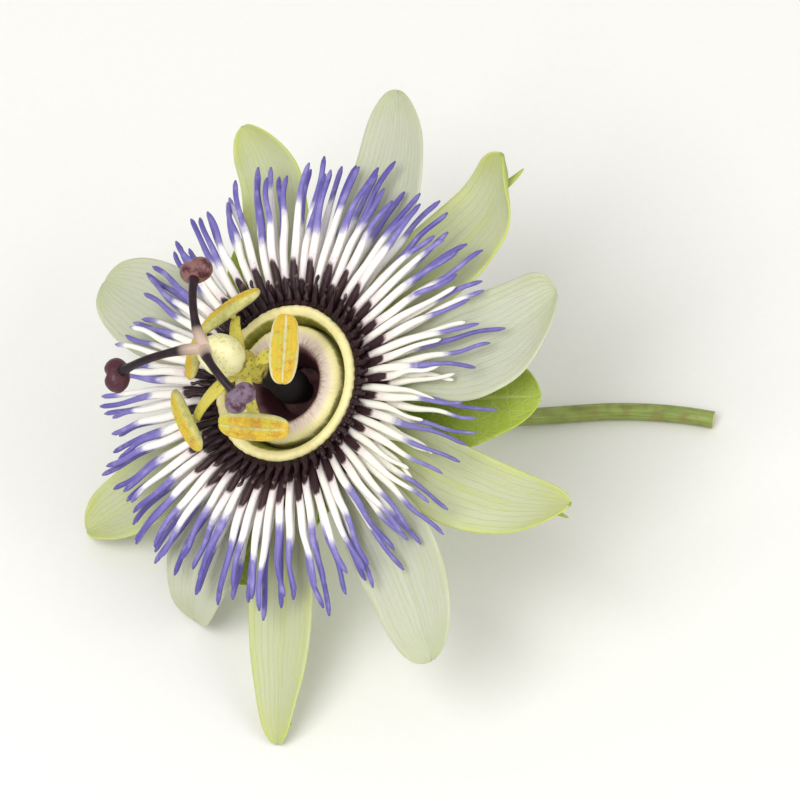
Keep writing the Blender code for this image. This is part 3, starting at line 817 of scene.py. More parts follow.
def blade_finish(name, face, green, tip, edge, root, rib, vein_count=15.0, through=0.3):
    """Pale skin with fine veins that run from root to tip, greener at its root, rib, tip or edge."""
    f = flesh(name, 0.5, through, sheen_weight=0.08, sheen_roughness=0.5)
    across, along, strand = f.read("across"), f.read("along"), f.read("strand")
    middle = f.maths("ABSOLUTE", across)
    drift = f.noise(1.6, 2.0, f.vector(f.times(along, 3.0), across, strand))
    lines = f.plus(f.times(across, vein_count), f.times(drift, 2.2))
    wave = f.maths("ABSOLUTE", f.maths("SINE", f.times(lines, math.pi / 2.0)))
    veins = f.span(wave, 0.0, 0.34, 1.0, 0.0)
    streaks = f.noise(1.0, 4.0, f.vector(f.times(across, 16.0), f.times(along, 2.2), strand))
    fine = f.noise(1.0, 3.0, f.vector(f.times(across, 46.0), f.times(along, 9.0), strand))
    mottle = f.noise(620.0)
    amount = f.span(along, 0.0, 0.42, root, 0.0)
    for more in (
        f.times(f.span(middle, 0.02, 0.2, rib, 0.0), f.span(along, 0.95, 0.1)),
        f.span(along, 0.8, 1.0, 0.0, tip),
        f.times(f.span(middle, 0.62, 1.0, 0.0, edge), f.span(along, 0.25, 0.6)),
        f.times(veins, 0.26),
        f.span(streaks, 0.35, 0.75, -0.12, 0.3),
    ):
        amount = f.plus(amount, more)
    amount = f.plus(amount, f.vary(mottle, -0.1, 0.1), clamp=True)
    colour = f.mix(amount, face, green)
    relief = f.plus(f.times(veins, -0.6), f.times(fine, 0.55))
    relief = f.plus(relief, f.times(streaks, 0.8))
    grain = f.noise(5200.0, 2.0)
    normal = f.bump(grain, 0.03, 0.4, f.bump(relief, 0.12, 0.55))
    return f.finish(colour, f.span(streaks, 0.2, 0.8, 0.42, 0.6), normal)


def bract_finish(name, blades):
    """Thin leaf with a pale midrib, side veins that sweep to the edge and a fine net between them."""
    f = flesh(name, 0.5, 0.2)
    across, along, strand = f.read("across"), f.read("along"), f.read("strand")
    middle = f.maths("ABSOLUTE", across)
    sweep = f.minus(along, f.times(f.maths("POWER", middle, 1.3), 0.3))
    drift = f.noise(5.0, 2.0, f.vector(along, across, strand))
    beat = f.plus(f.times(sweep, 9.0), f.times(drift, 0.35))
    wave = f.maths("ABSOLUTE", f.maths("SINE", f.times(beat, math.pi)))
    side = f.span(wave, 0.0, 0.16, 1.0, 0.0)
    rib = f.span(middle, 0.015, 0.07, 1.0, 0.0)
    net = f.span(f.cells(620.0, "DISTANCE_TO_EDGE"), 0.0, 0.09, 1.0, 0.0)
    veins = f.maths("MAXIMUM", rib, f.times(side, 0.75))
    mottle = f.noise(260.0, 4.0)
    amount = f.plus(veins, f.times(net, 0.3))
    amount = f.plus(amount, f.vary(mottle, -0.12, 0.18), clamp=True)
    relief = f.plus(f.times(veins, -1.0), f.times(net, -0.45))
    colour = f.mix(amount, blades.bract_green, blades.bract_vein)
    return f.finish(colour, f.vary(mottle, 0.4, 0.56), f.bump(relief, 0.16, 0.6))


def thread_finish(crown):
    """Dark roots, white middles and blue-violet ends, which start at each thread's own radii."""
    f = flesh("thread_bands", 0.48, 0.12, 0.25, sheen_weight=0.04, sheen_roughness=0.4)
    reach, strand, along, top = f.read("reach"), f.read("strand"), f.read("along"), f.read("across")
    stretched = f.vector(f.times(along, 9.0), f.times(top, 1.2), f.times(strand, 40.0))
    streak = f.noise(1.0, 3.0, stretched)
    past_dark = f.minus(reach, f.read("dark_end"))
    past_dark = f.plus(past_dark, f.span(top, -0.2, 1.0, 0.7, -0.5))
    past_dark = f.plus(past_dark, f.span(streak, 0.25, 0.75, -0.3, 0.3))
    dull = f.read("faded")
    white = f.mix(f.times(dull, 0.6), crown.white, shade(232, 230, 210))
    white = f.mix(f.span(past_dark, 0.4, 2.4, 0.26, 0.0), white, shade(200, 150, 178))
    flecks = f.span(f.noise(2600.0, 2.0), 0.62, 0.72, 0.0, 0.4)
    near = f.span(past_dark, 0.6, 3.0, 1.0, 0.0)
    white = f.mix(f.times(flecks, near), white, shade(150, 118, 166))
    pale = f.mix(f.span(past_dark, -0.25, 0.45), crown.dark, white)
    past_white = f.minus(reach, f.read("white_end"))
    past_white = f.plus(past_white, f.span(streak, 0.25, 0.75, -0.7, 0.7))
    blue = f.mix(f.span(past_white, 2.0, 7.5), crown.blue, crown.deep_blue)
    # Pale lilac streaks on the blue: partly the threads' own streaking, partly painted highlight.
    blue = f.mix(f.span(streak, 0.46, 0.74, 0.0, 0.5), blue, shade(176, 170, 218))
    blue = f.mix(f.times(dull, 0.35), blue, shade(120, 122, 158))
    colour = f.mix(f.span(past_white, -0.9, 1.1), pale, blue)
    grain = f.noise(4200.0, 2.0)
    normal = f.bump(f.plus(grain, f.times(streak, 1.4)), 0.07, 0.5)
    return f.finish(colour, f.vary(grain, 0.4, 0.58), normal)


# ---------------------------------------------------------------- operators


def settings():
    return bpy.context.scene.passion_flower


def whorl_blades(whorl, rows, points, half_width, shape, blades):
    """Each blade of a whorl, with its turn in degrees."""
    for index, (turn, length, width, fall, curl, twist, bow) in enumerate(rows):

        def slope(u):
            return whorl["slope"] + fall * u + curl * smooth_step((u - CURL_FROM) / (1.0 - CURL_FROM))

        blade = Blade(
            bent_line(length, slope), half_width, width * blades.breadth, BLADE_ROOT_R,
            index + whorl["seed"], blades.thickness / MM, blades.rim / MM,
            blades.ruffle / MM * whorl["ruffle"], points[index], twist=twist, bow=bow, **shape,
        )
        yield blade, turn + (whorl["first"] + index * 72.0)


class PASSION_OT_sepals(bpy.types.Operator):
    """Build the five hooded sepals with their keels and horns"""

    bl_idname = "passion.sepals"
    bl_label = "Sepals"

    def execute(self, context):
        blades = settings().blades
        white, green = blades.sepal_white, blades.sepal_green
        face = blade_finish(
            "sepal_face", white, green, tip=0.46, edge=0.34, root=0.25, rib=0.5, vein_count=11.0
        )
        back = blade_finish(
            "sepal_back", green, blades.back_green, tip=0.5, edge=-0.7, root=0.6, rib=0.9,
            vein_count=9.0, through=0.2,
        )
        height = SEPAL_WHORL["height"]
        made = whorl_blades(SEPAL_WHORL, SEPALS, SEPAL_POINTS, sepal_half_width, SEPAL_SHAPE, blades)
        for index, (blade, turn) in enumerate(made):
            strand = index * 0.37
            shell = Shell()
            lay_blade(shell, blade, turn, height, BLADE_ROWS, 26, TUCK, strand, (0.0, 0.0, 1.0, 0.94))
            lay_awn(shell, blade, turn, height, strand, (0.0, 0.95, 1.0, 1.0))
            shell.rest_on_table(BLOOM)
            name = f"sepal_{index + 1}"
            put(shell, f"sepal_blade_{index + 1}", name, BLOOM, "sepal_cream_green", face, back)
        return {"FINISHED"}


class PASSION_OT_petals(bpy.types.Operator):
    """Build the five blunt white petals"""

    bl_idname = "passion.petals"
    bl_label = "Petals"

    def execute(self, context):
        blades = settings().blades
        white, green = blades.petal_white, blades.petal_green
        face = blade_finish("petal_face", white, green, tip=0.4, edge=0.1, root=0.5, rib=0.35)
        back = blade_finish("petal_back", white, green, tip=0.4, edge=0.0, root=0.9, rib=0.7)
        made = whorl_blades(PETAL_WHORL, PETALS, PETAL_POINTS, petal_half_width, PETAL_SHAPE, blades)
        for index, (blade, turn) in enumerate(made):
            strand = 0.5 + index * 0.41
            shell = Shell()
            lay_blade(shell, blade, turn, PETAL_WHORL["height"], BLADE_ROWS, 28, TUCK, strand)
            shell.rest_on_table(BLOOM)
            number = index + 1
            put(shell, f"petal_blade_{number}", f"petal_{number}", BLOOM, "petal_white", face, back)
        return {"FINISHED"}


class PASSION_OT_bracts(bpy.types.Operator):
    """Build the three bracts on the stalk"""

    bl_idname = "passion.bracts"
    bl_label = "Bracts"

    def execute(self, context):
        blades = settings().blades
        face, back = (bract_finish(f"bract_{side}", blades) for side in ("face", "back"))
        for index, (turn, length) in enumerate(BRACTS):
            blade = Blade(
                bent_line(length, lambda u: BRACT_RISE + BRACT_FALL * u), bract_half_width,
                blades.bract_width / MM, BRACT_ROOT_R, index + 21.0, blades.thickness / MM,
                blades.rim / MM, blades.ruffle / MM * 0.8, **BRACT_SHAPE,
            )
            shell = Shell()
            lay_blade(shell, blade, turn, -BRACT_BELOW, 56, 30, TUCK, index * 0.29)
            shell.rest_on_table(BLOOM)
            number = index + 1
            put(shell, f"bract_leaf_{number}", f"bract_{number}", BLOOM, "bract_green", face, back)
        return {"FINISHED"}


def bunching(turn):
    """How the tips near a heading draw aside, from -1 to 1, so that they meet in uneven bunches."""
    beat = 33.0 * turn + 2.4 * math.sin(2.0 * turn + 0.7) + 1.9 * math.sin(5.0 * turn + 2.0)
    return -math.sin(beat) * (0.8 + 0.2 * math.sin(3.0 * turn + 1.0))


def faded(turn):
    """How far the threads near a heading are faded, short and thin, from 0 to 1."""
    share = 0.0
    for middle, width, depth in FADED_SIDES:
        away = (turn - math.radians(middle) + math.pi) % TAU - math.pi
        share += depth * bell(away / math.radians(width))
    return min(share, 1.0)


def thread_places(row, index, count, draw, stations, wave, clump, shortest):
    """The wandering middle line of one thread, from inside its ring to its tip."""
    turn = (index + 0.5 + row["shift"]) * TAU / count
    outward = heading(turn)
    sideways = leftward(outward)
    lean = math.tan(math.radians(THREAD_SWAY * math.sin(index * 2.4)))
    rise = row["rise"] + 1.6 * math.sin(index * 3.1)
    reach = row["reach"] * (0.95 + 0.05 * math.sin(index * 1.7 + 0.6)) * draw.uniform(shortest, 1.0)
    line = bent_line(reach, lambda u: rise + row["fall"] * u, 60)
    root = outward * CROWN_ROOT_R + upright(row["z"] + row["tall"] / 2.0)
    beats = draw.uniform(1.3, 2.4), draw.uniform(1.0, 2.1)
    starts = draw.uniform(0.0, TAU), draw.uniform(0.0, TAU)
    stray = wave * draw.uniform(-0.6, 0.6) + clump * bunching(turn)
    places = [root - outward * 0.6]
    for station in range(stations + 1):
        u = station / stations
        out, height, _ = along_line(line, u)
        sway, bob = (math.sin(TAU * b * u + s) - math.sin(s) for b, s in zip(beats, starts))
        side = out * lean * u + wave * 0.55 * sway * u + stray * u * u
        places.append(root + outward * out + sideways * side + upright(height + 0.4 * wave * bob * u))
    return places


def long_row(row, crown, seed):
    """One row of long threads on their ring, each with its own length, width and bands."""
    draw = random.Random(seed)
    shell = Shell()
    widest = crown.thread_width / MM / 2.0
    for index in range(LONG_THREADS):
        turn = (index + 0.5 + row["shift"]) * TAU / LONG_THREADS
        fade = faded(turn)
        stubby = fade * draw.random() > 0.4
        lengthened = bell((turn - LONG_SIDE) / 0.6)
        cut = 1.0 - fade * (0.42 if stubby else 0.05) + 0.08 * lengthened
        wave, clump = crown.wave / MM, crown.clump / MM
        own = {**row, "reach": row["reach"] * cut}
        places = thread_places(own, index, LONG_THREADS, draw, LONG_STATIONS, wave, clump, 0.9)
        sizes = []
        for station in range(-1, LONG_STATIONS + 1):
            u = max(station, 0) / LONG_STATIONS
            size = 0.84 + 0.16 * smooth_step(u / 0.18) - 0.3 * smooth_step((u - 0.46) / 0.36)
            size *= widest * (1.0 - 0.34 * fade * smooth_step((u - 0.3) / 0.3))
            sizes.append(size * rounded_end(u, 0.93, 0.075))
        area = thread_area(index, LONG_THREADS)
        tube(shell, places, sizes, 8, area, strand=draw.random(), flat=0.85)
        side = 1.0 if index % 2 else -1.0
        spread = 0.75 * side + draw.uniform(-0.35, 0.35)
        dark_end = crown.dark_until / MM + crown.dark_spread / MM * spread
        white_end = crown.white_until / MM + crown.white_spread / MM * draw.uniform(-1.0, 1.0)
        if draw.random() < 0.12:
            white_end += 4.0
        shell.mark(
            dark_end=dark_end - FADED_DARK * fade * (0.9 - 0.15 * side),
            white_end=white_end + (9.0 if stubby else -1.4 * fade) + 0.9 * lengthened,
            faded=fade,
        )
    return shell


def short_row(row, seed):
    """The row of short dark threads on their ring."""
    draw = random.Random(seed)
    shell = Shell()
    for index in range(SHORT_THREADS):
        fade = faded((index + 0.5 + row["shift"]) * TAU / SHORT_THREADS)
        own = {**row, "reach": row["reach"] * (1.0 - 0.58 * fade)}
        places = thread_places(own, index, SHORT_THREADS, draw, SHORT_STATIONS, 0.3, 0.0, 0.6)
        sizes = []
        for station in range(-1, SHORT_STATIONS + 1):
            u = max(station, 0) / SHORT_STATIONS
            size = 0.5 - 0.3 * smooth_step(u / 0.8) + 0.06 * bell((u - 0.9) / 0.1)
            sizes.append(size * rounded_end(u, 0.9, 0.105))
        tube(shell, places, sizes, 10, thread_area(index, SHORT_THREADS), strand=draw.random())
    return shell


def thread_area(index, count):
    """A thread's own strip of the map, above the strip of its ring."""
    return index / count, 0.06, index / count + 0.92 / count, 1.0


def lay_thread_ring(shell, row, sides):
    """The ring that a row of threads grows from."""
    z, top = row["z"], row["z"] + row["tall"] * 0.6
    corners = [(CROWN_INNER_R, z), (CROWN_ROOT_R, z), (CROWN_ROOT_R, top), (CROWN_INNER_R, top)]
    outline = []
    for r, h in rounded(corners, True, 3):
        outline.append((min(max(r, CROWN_INNER_R), CROWN_ROOT_R), min(max(h, z), top)))
    turned(shell, outline, sides, True, area=(0.0, 0.0, 1.0, 0.05))


class PASSION_OT_crown(bpy.types.Operator):
    """Build the crown: two rows of long banded threads and a row of short dark ones"""

    bl_idname = "passion.crown"
    bl_label = "Crown"

    def execute(self, context):
        crown = settings().crown
        bands = thread_finish(crown)
        for name, row, seed in (("threads_outer", OUTER_ROW, 31), ("threads_second", SECOND_ROW, 32)):
            shell = long_row(row, crown, seed)
            lay_thread_ring(shell, row, LONG_THREADS * 2)
            shell.mark(dark_end=crown.dark_until / MM, white_end=crown.white_until / MM, faded=0.0)
            shell.rest_on_table(BLOOM)
            put(shell, name, row["node"], BLOOM, "thread_blue_white", bands)

        f = flesh("short_threads", 0.42, 0.05, 0.25)
        streak = f.noise(1500.0)
        colour = f.mix(f.span(streak, 0.35, 0.7), shade(30, 12, 18), shade(54, 24, 34))
        heads = f.times(f.span(f.read("along"), 0.82, 0.95, 0.0, 0.5), f.vary(f.read("strand")))
        colour = f.mix(heads, colour, shade(128, 104, 88))
        dark = f.finish(colour, f.vary(streak, 0.34, 0.5), f.bump(streak, 0.06, 0.5))
        shell = short_row(SHORT_ROW, 47)
        lay_thread_ring(shell, SHORT_ROW, SHORT_THREADS * 2)
        put(shell, "threads_short", SHORT_ROW["node"], BLOOM, "thread_dark", dark)
        return {"FINISHED"}


class PASSION_OT_rings(bpy.types.Operator):
    """Build the cup, the pleated lid ring and the collar round the nectar bowl"""

    bl_idname = "passion.rings"
    bl_label = "Cup and rings"

    def execute(self, context):
        centre, stem = settings().centre, settings().stem
        self.lid(centre)
        self.collar(centre)
        self.cup(centre, stem)
        return {"FINISHED"}

    def lid(self, centre):
        def pleats(turn, radius, height):
            top = smooth_step((height - 0.8) / 2.2)
            fold = 0.022 * math.sin(turn * 60.0) + 0.02 * math.sin(turn * 37.0 + 1.3)
            slow = 0.1 * math.sin(turn * 5.0 + 0.8) + 0.07 * math.sin(turn * 9.0)
            return top * (fold + slow * 0.5), top * (slow * 0.8 + fold)

        shell = Shell()
        turned(shell, rounded(LID, True), 240, True, pleats)
        f = flesh("lid_skin", 0.42, 0.2)
        height, reach = f.read("height"), f.read("reach")
        mottle = f.noise(900.0)
        # The lid's inner wall turns groove olive: partly its own colour, partly painted shade of the
        # groove.
        inside = f.span(f.plus(reach, f.vary(mottle, -0.05, 0.05)), 8.85, 9.15, 1.0, 0.0)
        colour = f.mix(inside, centre.cream, centre.olive)
        low = f.span(f.plus(height, f.vary(mottle, -0.3, 0.3)), 2.1, 2.9, 1.0, 0.0)
        outside = f.times(f.span(reach, 9.0, 9.3), low)
        colour = f.mix(outside, colour, shade(86, 44, 50))
        colour = f.mix(f.span(mottle, 0.35, 0.7, 0.0, 0.3), colour, shade(214, 196, 112))
        skin = f.finish(colour, 0.42, f.bump(mottle, 0.08, 0.5))
        put(shell, "lid_ring", "operculum", BLOOM, "ring_cream", skin)

    def collar(self, centre):
        def folds(turn, radius, height):
            top = smooth_step((height - 0.4) / 2.4)
            slow = 0.08 * math.sin(turn * 7.0 + 0.4) + 0.05 * math.sin(turn * 13.0)
            fine = math.sin(turn * 84.0) + 0.6 * math.sin(turn * 53.0 + 0.7)
            inner = 1.0 - smooth_step((radius - 5.6) / 1.6)
            return top * (slow + 0.03 * fine), top * (slow * 0.8 + 0.035 * fine * inner)

        shell = Shell()
        turned(shell, rounded(COLLAR, True, 5), 420, True, folds)
        f = flesh("collar_skin", 0.4, 0.2)
        reach = f.read("reach")
        mottle = f.noise(800.0)
        shifted = f.plus(reach, f.vary(mottle, -0.06, 0.06))
        colour = f.mix(f.span(shifted, 6.4, 7.5), centre.pink, centre.cream)
        streaks = f.noise(1.0, 2.0, f.vector(f.times(f.read("across"), 110.0), f.times(reach, 0.9)))
        marks = f.times(f.span(streaks, 0.46, 0.66, 0.0, 0.62), f.span(shifted, 5.4, 6.9, 1.0, 0.0))
        for share, tint in (
            (marks, shade(166, 128, 138)),
            # The collar's outer edge turns groove olive: partly its own colour, partly painted shade of the
            # groove.
            (f.span(shifted, 7.72, 7.95, 0.0, 0.85), centre.olive),
            (f.span(shifted, 4.9, 5.9, 1.0, 0.0), shade(146, 104, 108)),
            (f.span(shifted, 4.3, 5.1, 1.0, 0.0), centre.bowl),
        ):
            colour = f.mix(share, colour, tint)
        skin = f.finish(colour, f.vary(mottle, 0.3, 0.46), f.bump(mottle, 0.1, 0.4))
        put(shell, "nectar_collar", "limen", BLOOM, "collar_cream", skin)

    def cup(self, centre, stem):
        def ribs(turn, radius, height):
            under = smooth_step((-height - 2.0) / 2.5) * smooth_step((radius - 1.5) / 3.0)
            return under * (0.16 * math.cos(turn * 10.0) + 0.05 * math.cos(turn * 30.0) - 0.14), 0.0

        outline = [
            (0.0, CUP_FLOOR - 0.25), (2.6, CUP_FLOOR - 0.2), (5.0, CUP_FLOOR), (BOWL_R - 0.3, CUP_FLOOR),
            (BOWL_R + 0.1, CUP_FLOOR + 0.4), (BOWL_R + 0.3, -0.1), (CUP_R - 0.3, 0.0), (CUP_R, -0.25),
        ]
        for step in range(CUP_STEPS + 1):
            t = step / CUP_STEPS
            swell = math.cos(t * math.pi / 2.0) ** 0.8
            depth = CUP_WALL + (CUP_DEPTH - CUP_WALL) * t
            outline.append((CUP_NECK_R + (CUP_R - CUP_NECK_R) * swell, -depth))
        outline.append((0.0, -CUP_DEPTH - 0.1))
        shell = Shell()
        turned(shell, rounded(outline, False, 3), 160, False, ribs)
        f = flesh("cup_skin", 0.48, 0.12)
        height, reach = f.read("height"), f.read("reach")
        mottle = f.noise(420.0, 4.0)
        fine = f.noise(2600.0, 2.0)
        green = f.mix(f.vary(mottle), stem.green, settings().blades.sepal_green)
        inside = f.times(f.span(height, -2.4, -2.0), f.span(reach, 9.2, 9.4, 1.0, 0.0))
        floor = f.mix(f.span(mottle, 0.4, 0.62), centre.bowl, shade(112, 72, 72))
        normal = f.bump(f.plus(mottle, fine), 0.1, 0.4)
        skin = f.finish(f.mix(inside, green, floor), f.vary(fine, 0.4, 0.56), normal)
        put(shell, "cup_shell", "floral_cup", BLOOM, "stalk_green", skin)


def strap_line(length):
    """The middle line of a stamen strap, out and down from the column."""
    return bent_line(length, lambda u: STRAP_RISE + STRAP_BEND * u)


class PASSION_OT_column(bpy.types.Operator):
    """Build the column, the ovary on top of it and the five straps"""

    bl_idname = "passion.column"
    bl_label = "Column and ovary"

    def execute(self, context):
        centre = settings().centre
        # The column's foot below 7.6 mm gets painted shade, near black, where it stands down in the bowl.
        skin = self.spotted("column_skin", centre.column, centre.spots, shade_below=7.6)
        pale = self.spotted("ovary_skin", centre.ovary, centre.column)

        def lobes(turn, radius, height):
            top = smooth_step((height - 8.5) / 2.0)
            return radius * (0.06 * top * math.cos(turn * 5.0) - 0.04 * top), 0.0

        shell = Shell()
        turned(shell, [(0.0, 12.5), *rounded(COLUMN, False, 5), (0.0, -1.45)], 80, False, lobes)
        put(shell, "column_shaft", "column", SPINE, "column_green", skin)

        def furrows(turn, radius, height):
            belly = smooth_step((radius - 0.4) / 1.4)
            return -0.16 * belly * (0.5 + 0.5 * math.cos(turn * 3.0)) ** 6, 0.0

        outline = []
        for step in range(OVARY_STEPS + 1):
            t = step / OVARY_STEPS * math.pi
            height = OVARY_BASE + (OVARY_TOP - OVARY_BASE) * (0.5 + 0.5 * math.cos(t))
            outline.append((OVARY_R * math.sin(t) ** 0.8, height))
        shell = Shell()
        turned(shell, outline, 96, False, furrows)
        put(shell, "ovary_pod", "ovary", SPINE, "column_green", pale)

        for index, (turn, length, _) in enumerate(STAMENS):
            blade = Blade(
                strap_line(length), strap_half_width, STRAP_WIDTH, STRAP_ROOT_R, index, STRAP_THICK,
                STRAP_RIM, rod=True,
            )
            shell = Shell()
            lay_blade(shell, blade, turn, COLUMN_TOP - STRAP_BELOW, 30, 12, 0.7, index * 0.21)
            number = index + 1
            put(shell, f"strap_{number}", f"stamen_strap_{number}", SPINE, "column_green", skin, skin)
        return {"FINISHED"}

    def spotted(self, name, base, spots, shade_below=-100.0):
        """Skin with small flecks, which give way to a near-black foot below a given height: painted shade
        where the column stands down in the bowl.
        """
        f = flesh(name, 0.4, 0.2)
        mottle = f.noise(500.0)
        cells = f.cells(1900.0)
        marks = f.times(f.span(cells, 0.28, 0.4, 1.0, 0.0), f.span(mottle, 0.4, 0.58))
        colour = f.mix(f.times(marks, 0.75), base, spots)
        colour = f.mix(f.span(mottle, 0.3, 0.75, 0.0, 0.35), colour, shade(176, 176, 70))
        # Painted shade: below the given height, with a noisy edge, the skin turns near black.
        sinking = f.plus(f.read("height"), f.vary(mottle, -1.0, 1.0))
        sunk = f.span(sinking, shade_below, shade_below + 1.6, 1.0, 0.0)
        colour = f.mix(sunk, colour, shade(16, 9, 9))
        fine = f.noise(3600.0, 2.0)
        rough = f.plus(f.vary(fine, 0.34, 0.5), f.times(sunk, 0.35))
        return f.finish(colour, rough, f.bump(f.plus(fine, mottle), 0.07, 0.4))


def anther_shell(seed):
    """A two-lobed pod: length along Y, thin side along X, its pollen face towards +X."""
    shell = Shell()
    half = ANTHER_LENGTH / 2.0
    rows = []
    for i in range(ANTHER_STATIONS + 1):
        s = -math.cos(math.pi * i / ANTHER_STATIONS) * 0.9995
        end = (1.0 - abs(s) ** ANTHER_BLUNT) ** (1.0 / ANTHER_BLUNT)
        thick = ANTHER_THICK / 2.0 * end
        wide = ANTHER_WIDTH / 2.0 * end**0.9
        row = []
        for j in range(ANTHER_SIDES):
            turn = TAU * j / ANTHER_SIDES
            c, d = math.cos(turn), math.sin(turn)
            x = math.copysign(abs(c) ** 0.82, c)
            z = math.copysign(abs(d) ** 0.86, d)
            front = max(x, 0.0)
            cleft = bell(z / 0.15) * (1.0 - 0.5 * abs(s) ** 4)
            slit = bell((abs(z) - 0.52) / 0.075) * (1.0 - smooth_step((abs(s) - 0.82) / 0.15))
            notch = 0.1 * bell(z / 0.3) * smooth_step((abs(s) - 0.7) / 0.3)
            grain = noise.noise(Vector((s * half * 2.6, z * 5.0, seed * 9.1)))
            grain += 0.6 * noise.noise(Vector((s * half * 5.2, z * 10.0, seed * 5.7)))
            sunk = front * end * (0.5 * cleft + 0.22 * slit)
            proud = front * 0.07 * grain * end
            depth = x * thick - sunk + proud - ANTHER_BEND * s * s
            place = Vector((depth, s * (half - notch) + 0.05 * grain * (1.0 - end), z * wide))
            row.append(shell.add(place, (s + 1.0) / 2.0, z, 1.0 if x > 0.0 else 0.0))
        rows.append(row)
    shell.body(rows)
    return shell


class PASSION_OT_anthers(bpy.types.Operator):
    """Build the five anthers with their pollen"""

    bl_idname = "passion.anthers"
    bl_label = "Anthers"

    def execute(self, context):
        centre = settings().centre
        lift = (ANTHER_THICK + STRAP_THICK) / 2.0 + STRAP_GAP
        stub = [Vector((x, 0.0, 0.0)) for x in (-0.6, -0.95, -1.25, -1.6)]
        for index, (turn, length, skew) in enumerate(STAMENS):
            out, height, _ = strap_line(length)[-1]
            reach = STRAP_ROOT_R + out + lift * math.cos(ANTHER_PITCH)
            angle = math.radians(turn)
            place = Vector((reach * math.cos(angle), reach * math.sin(angle), 0.0))
            place.z = COLUMN_TOP - STRAP_BELOW + height + lift * math.sin(ANTHER_PITCH)
            lean = Euler((math.radians(skew), -ANTHER_PITCH, angle), "XYZ").to_matrix().to_4x4()
            spot = SPINE @ Matrix.Translation(place * MM) @ lean
            shell = anther_shell(index + 1.0)
            tube(shell, stub, (0.75, 0.5, 0.36, 0.34), 12, (0.0, 0.0, 0.01, 0.01))
            number = index + 1
            gold = self.gold(f"anther_pollen_{number}", centre, *ANTHER_TINTS[index])
            put(shell, f"anther_pod_{number}", f"anther_{number}", spot, "anther_yellow", gold)
        return {"FINISHED"}

    def gold(self, name, centre, lime, rust, cream):
        """Gold pollen with lime and rusty patches; a wall that may be bleached to cream."""
        f = flesh(name, 0.75, 0.1)
        across, front = f.read("across"), f.read("strand")
        broad = f.noise(330.0, 2.0)
        mottle = f.noise(760.0)
        grains = f.cells(5200.0)
        middle = f.maths("ABSOLUTE", across)
        patches = f.span(broad, 0.6 - 0.3 * lime, 0.84 - 0.3 * lime, 0.0, 0.75)
        pollen = f.mix(patches, centre.pollen, shade(196, 190, 70))
        rusty = f.span(mottle, 0.62 - 0.2 * rust, 0.8 - 0.2 * rust, 0.0, 0.6)
        pollen = f.mix(rusty, pollen, shade(180, 118, 40))
        pollen = f.mix(f.span(grains, 0.1, 0.6, 0.4, 0.0), pollen, shade(244, 222, 122))
        wall = f.mix(f.span(mottle, 0.35, 0.7), centre.wall, shade(170, 172, 84))
        wall = f.mix(f.vary(mottle, cream, cream * 0.6), wall, shade(238, 232, 196))
        edge = f.span(f.plus(middle, f.vary(mottle, -0.07, 0.07)), 0.8, 0.92, 1.0, 0.0)
        rib = f.span(middle, 0.04, 0.13)
        colour = f.mix(f.times(f.times(edge, rib), front), wall, pollen)
        relief = f.times(f.minus(1.0, grains), front)
        return f.finish(colour, 0.75, f.bump(relief, 0.12, 0.9))


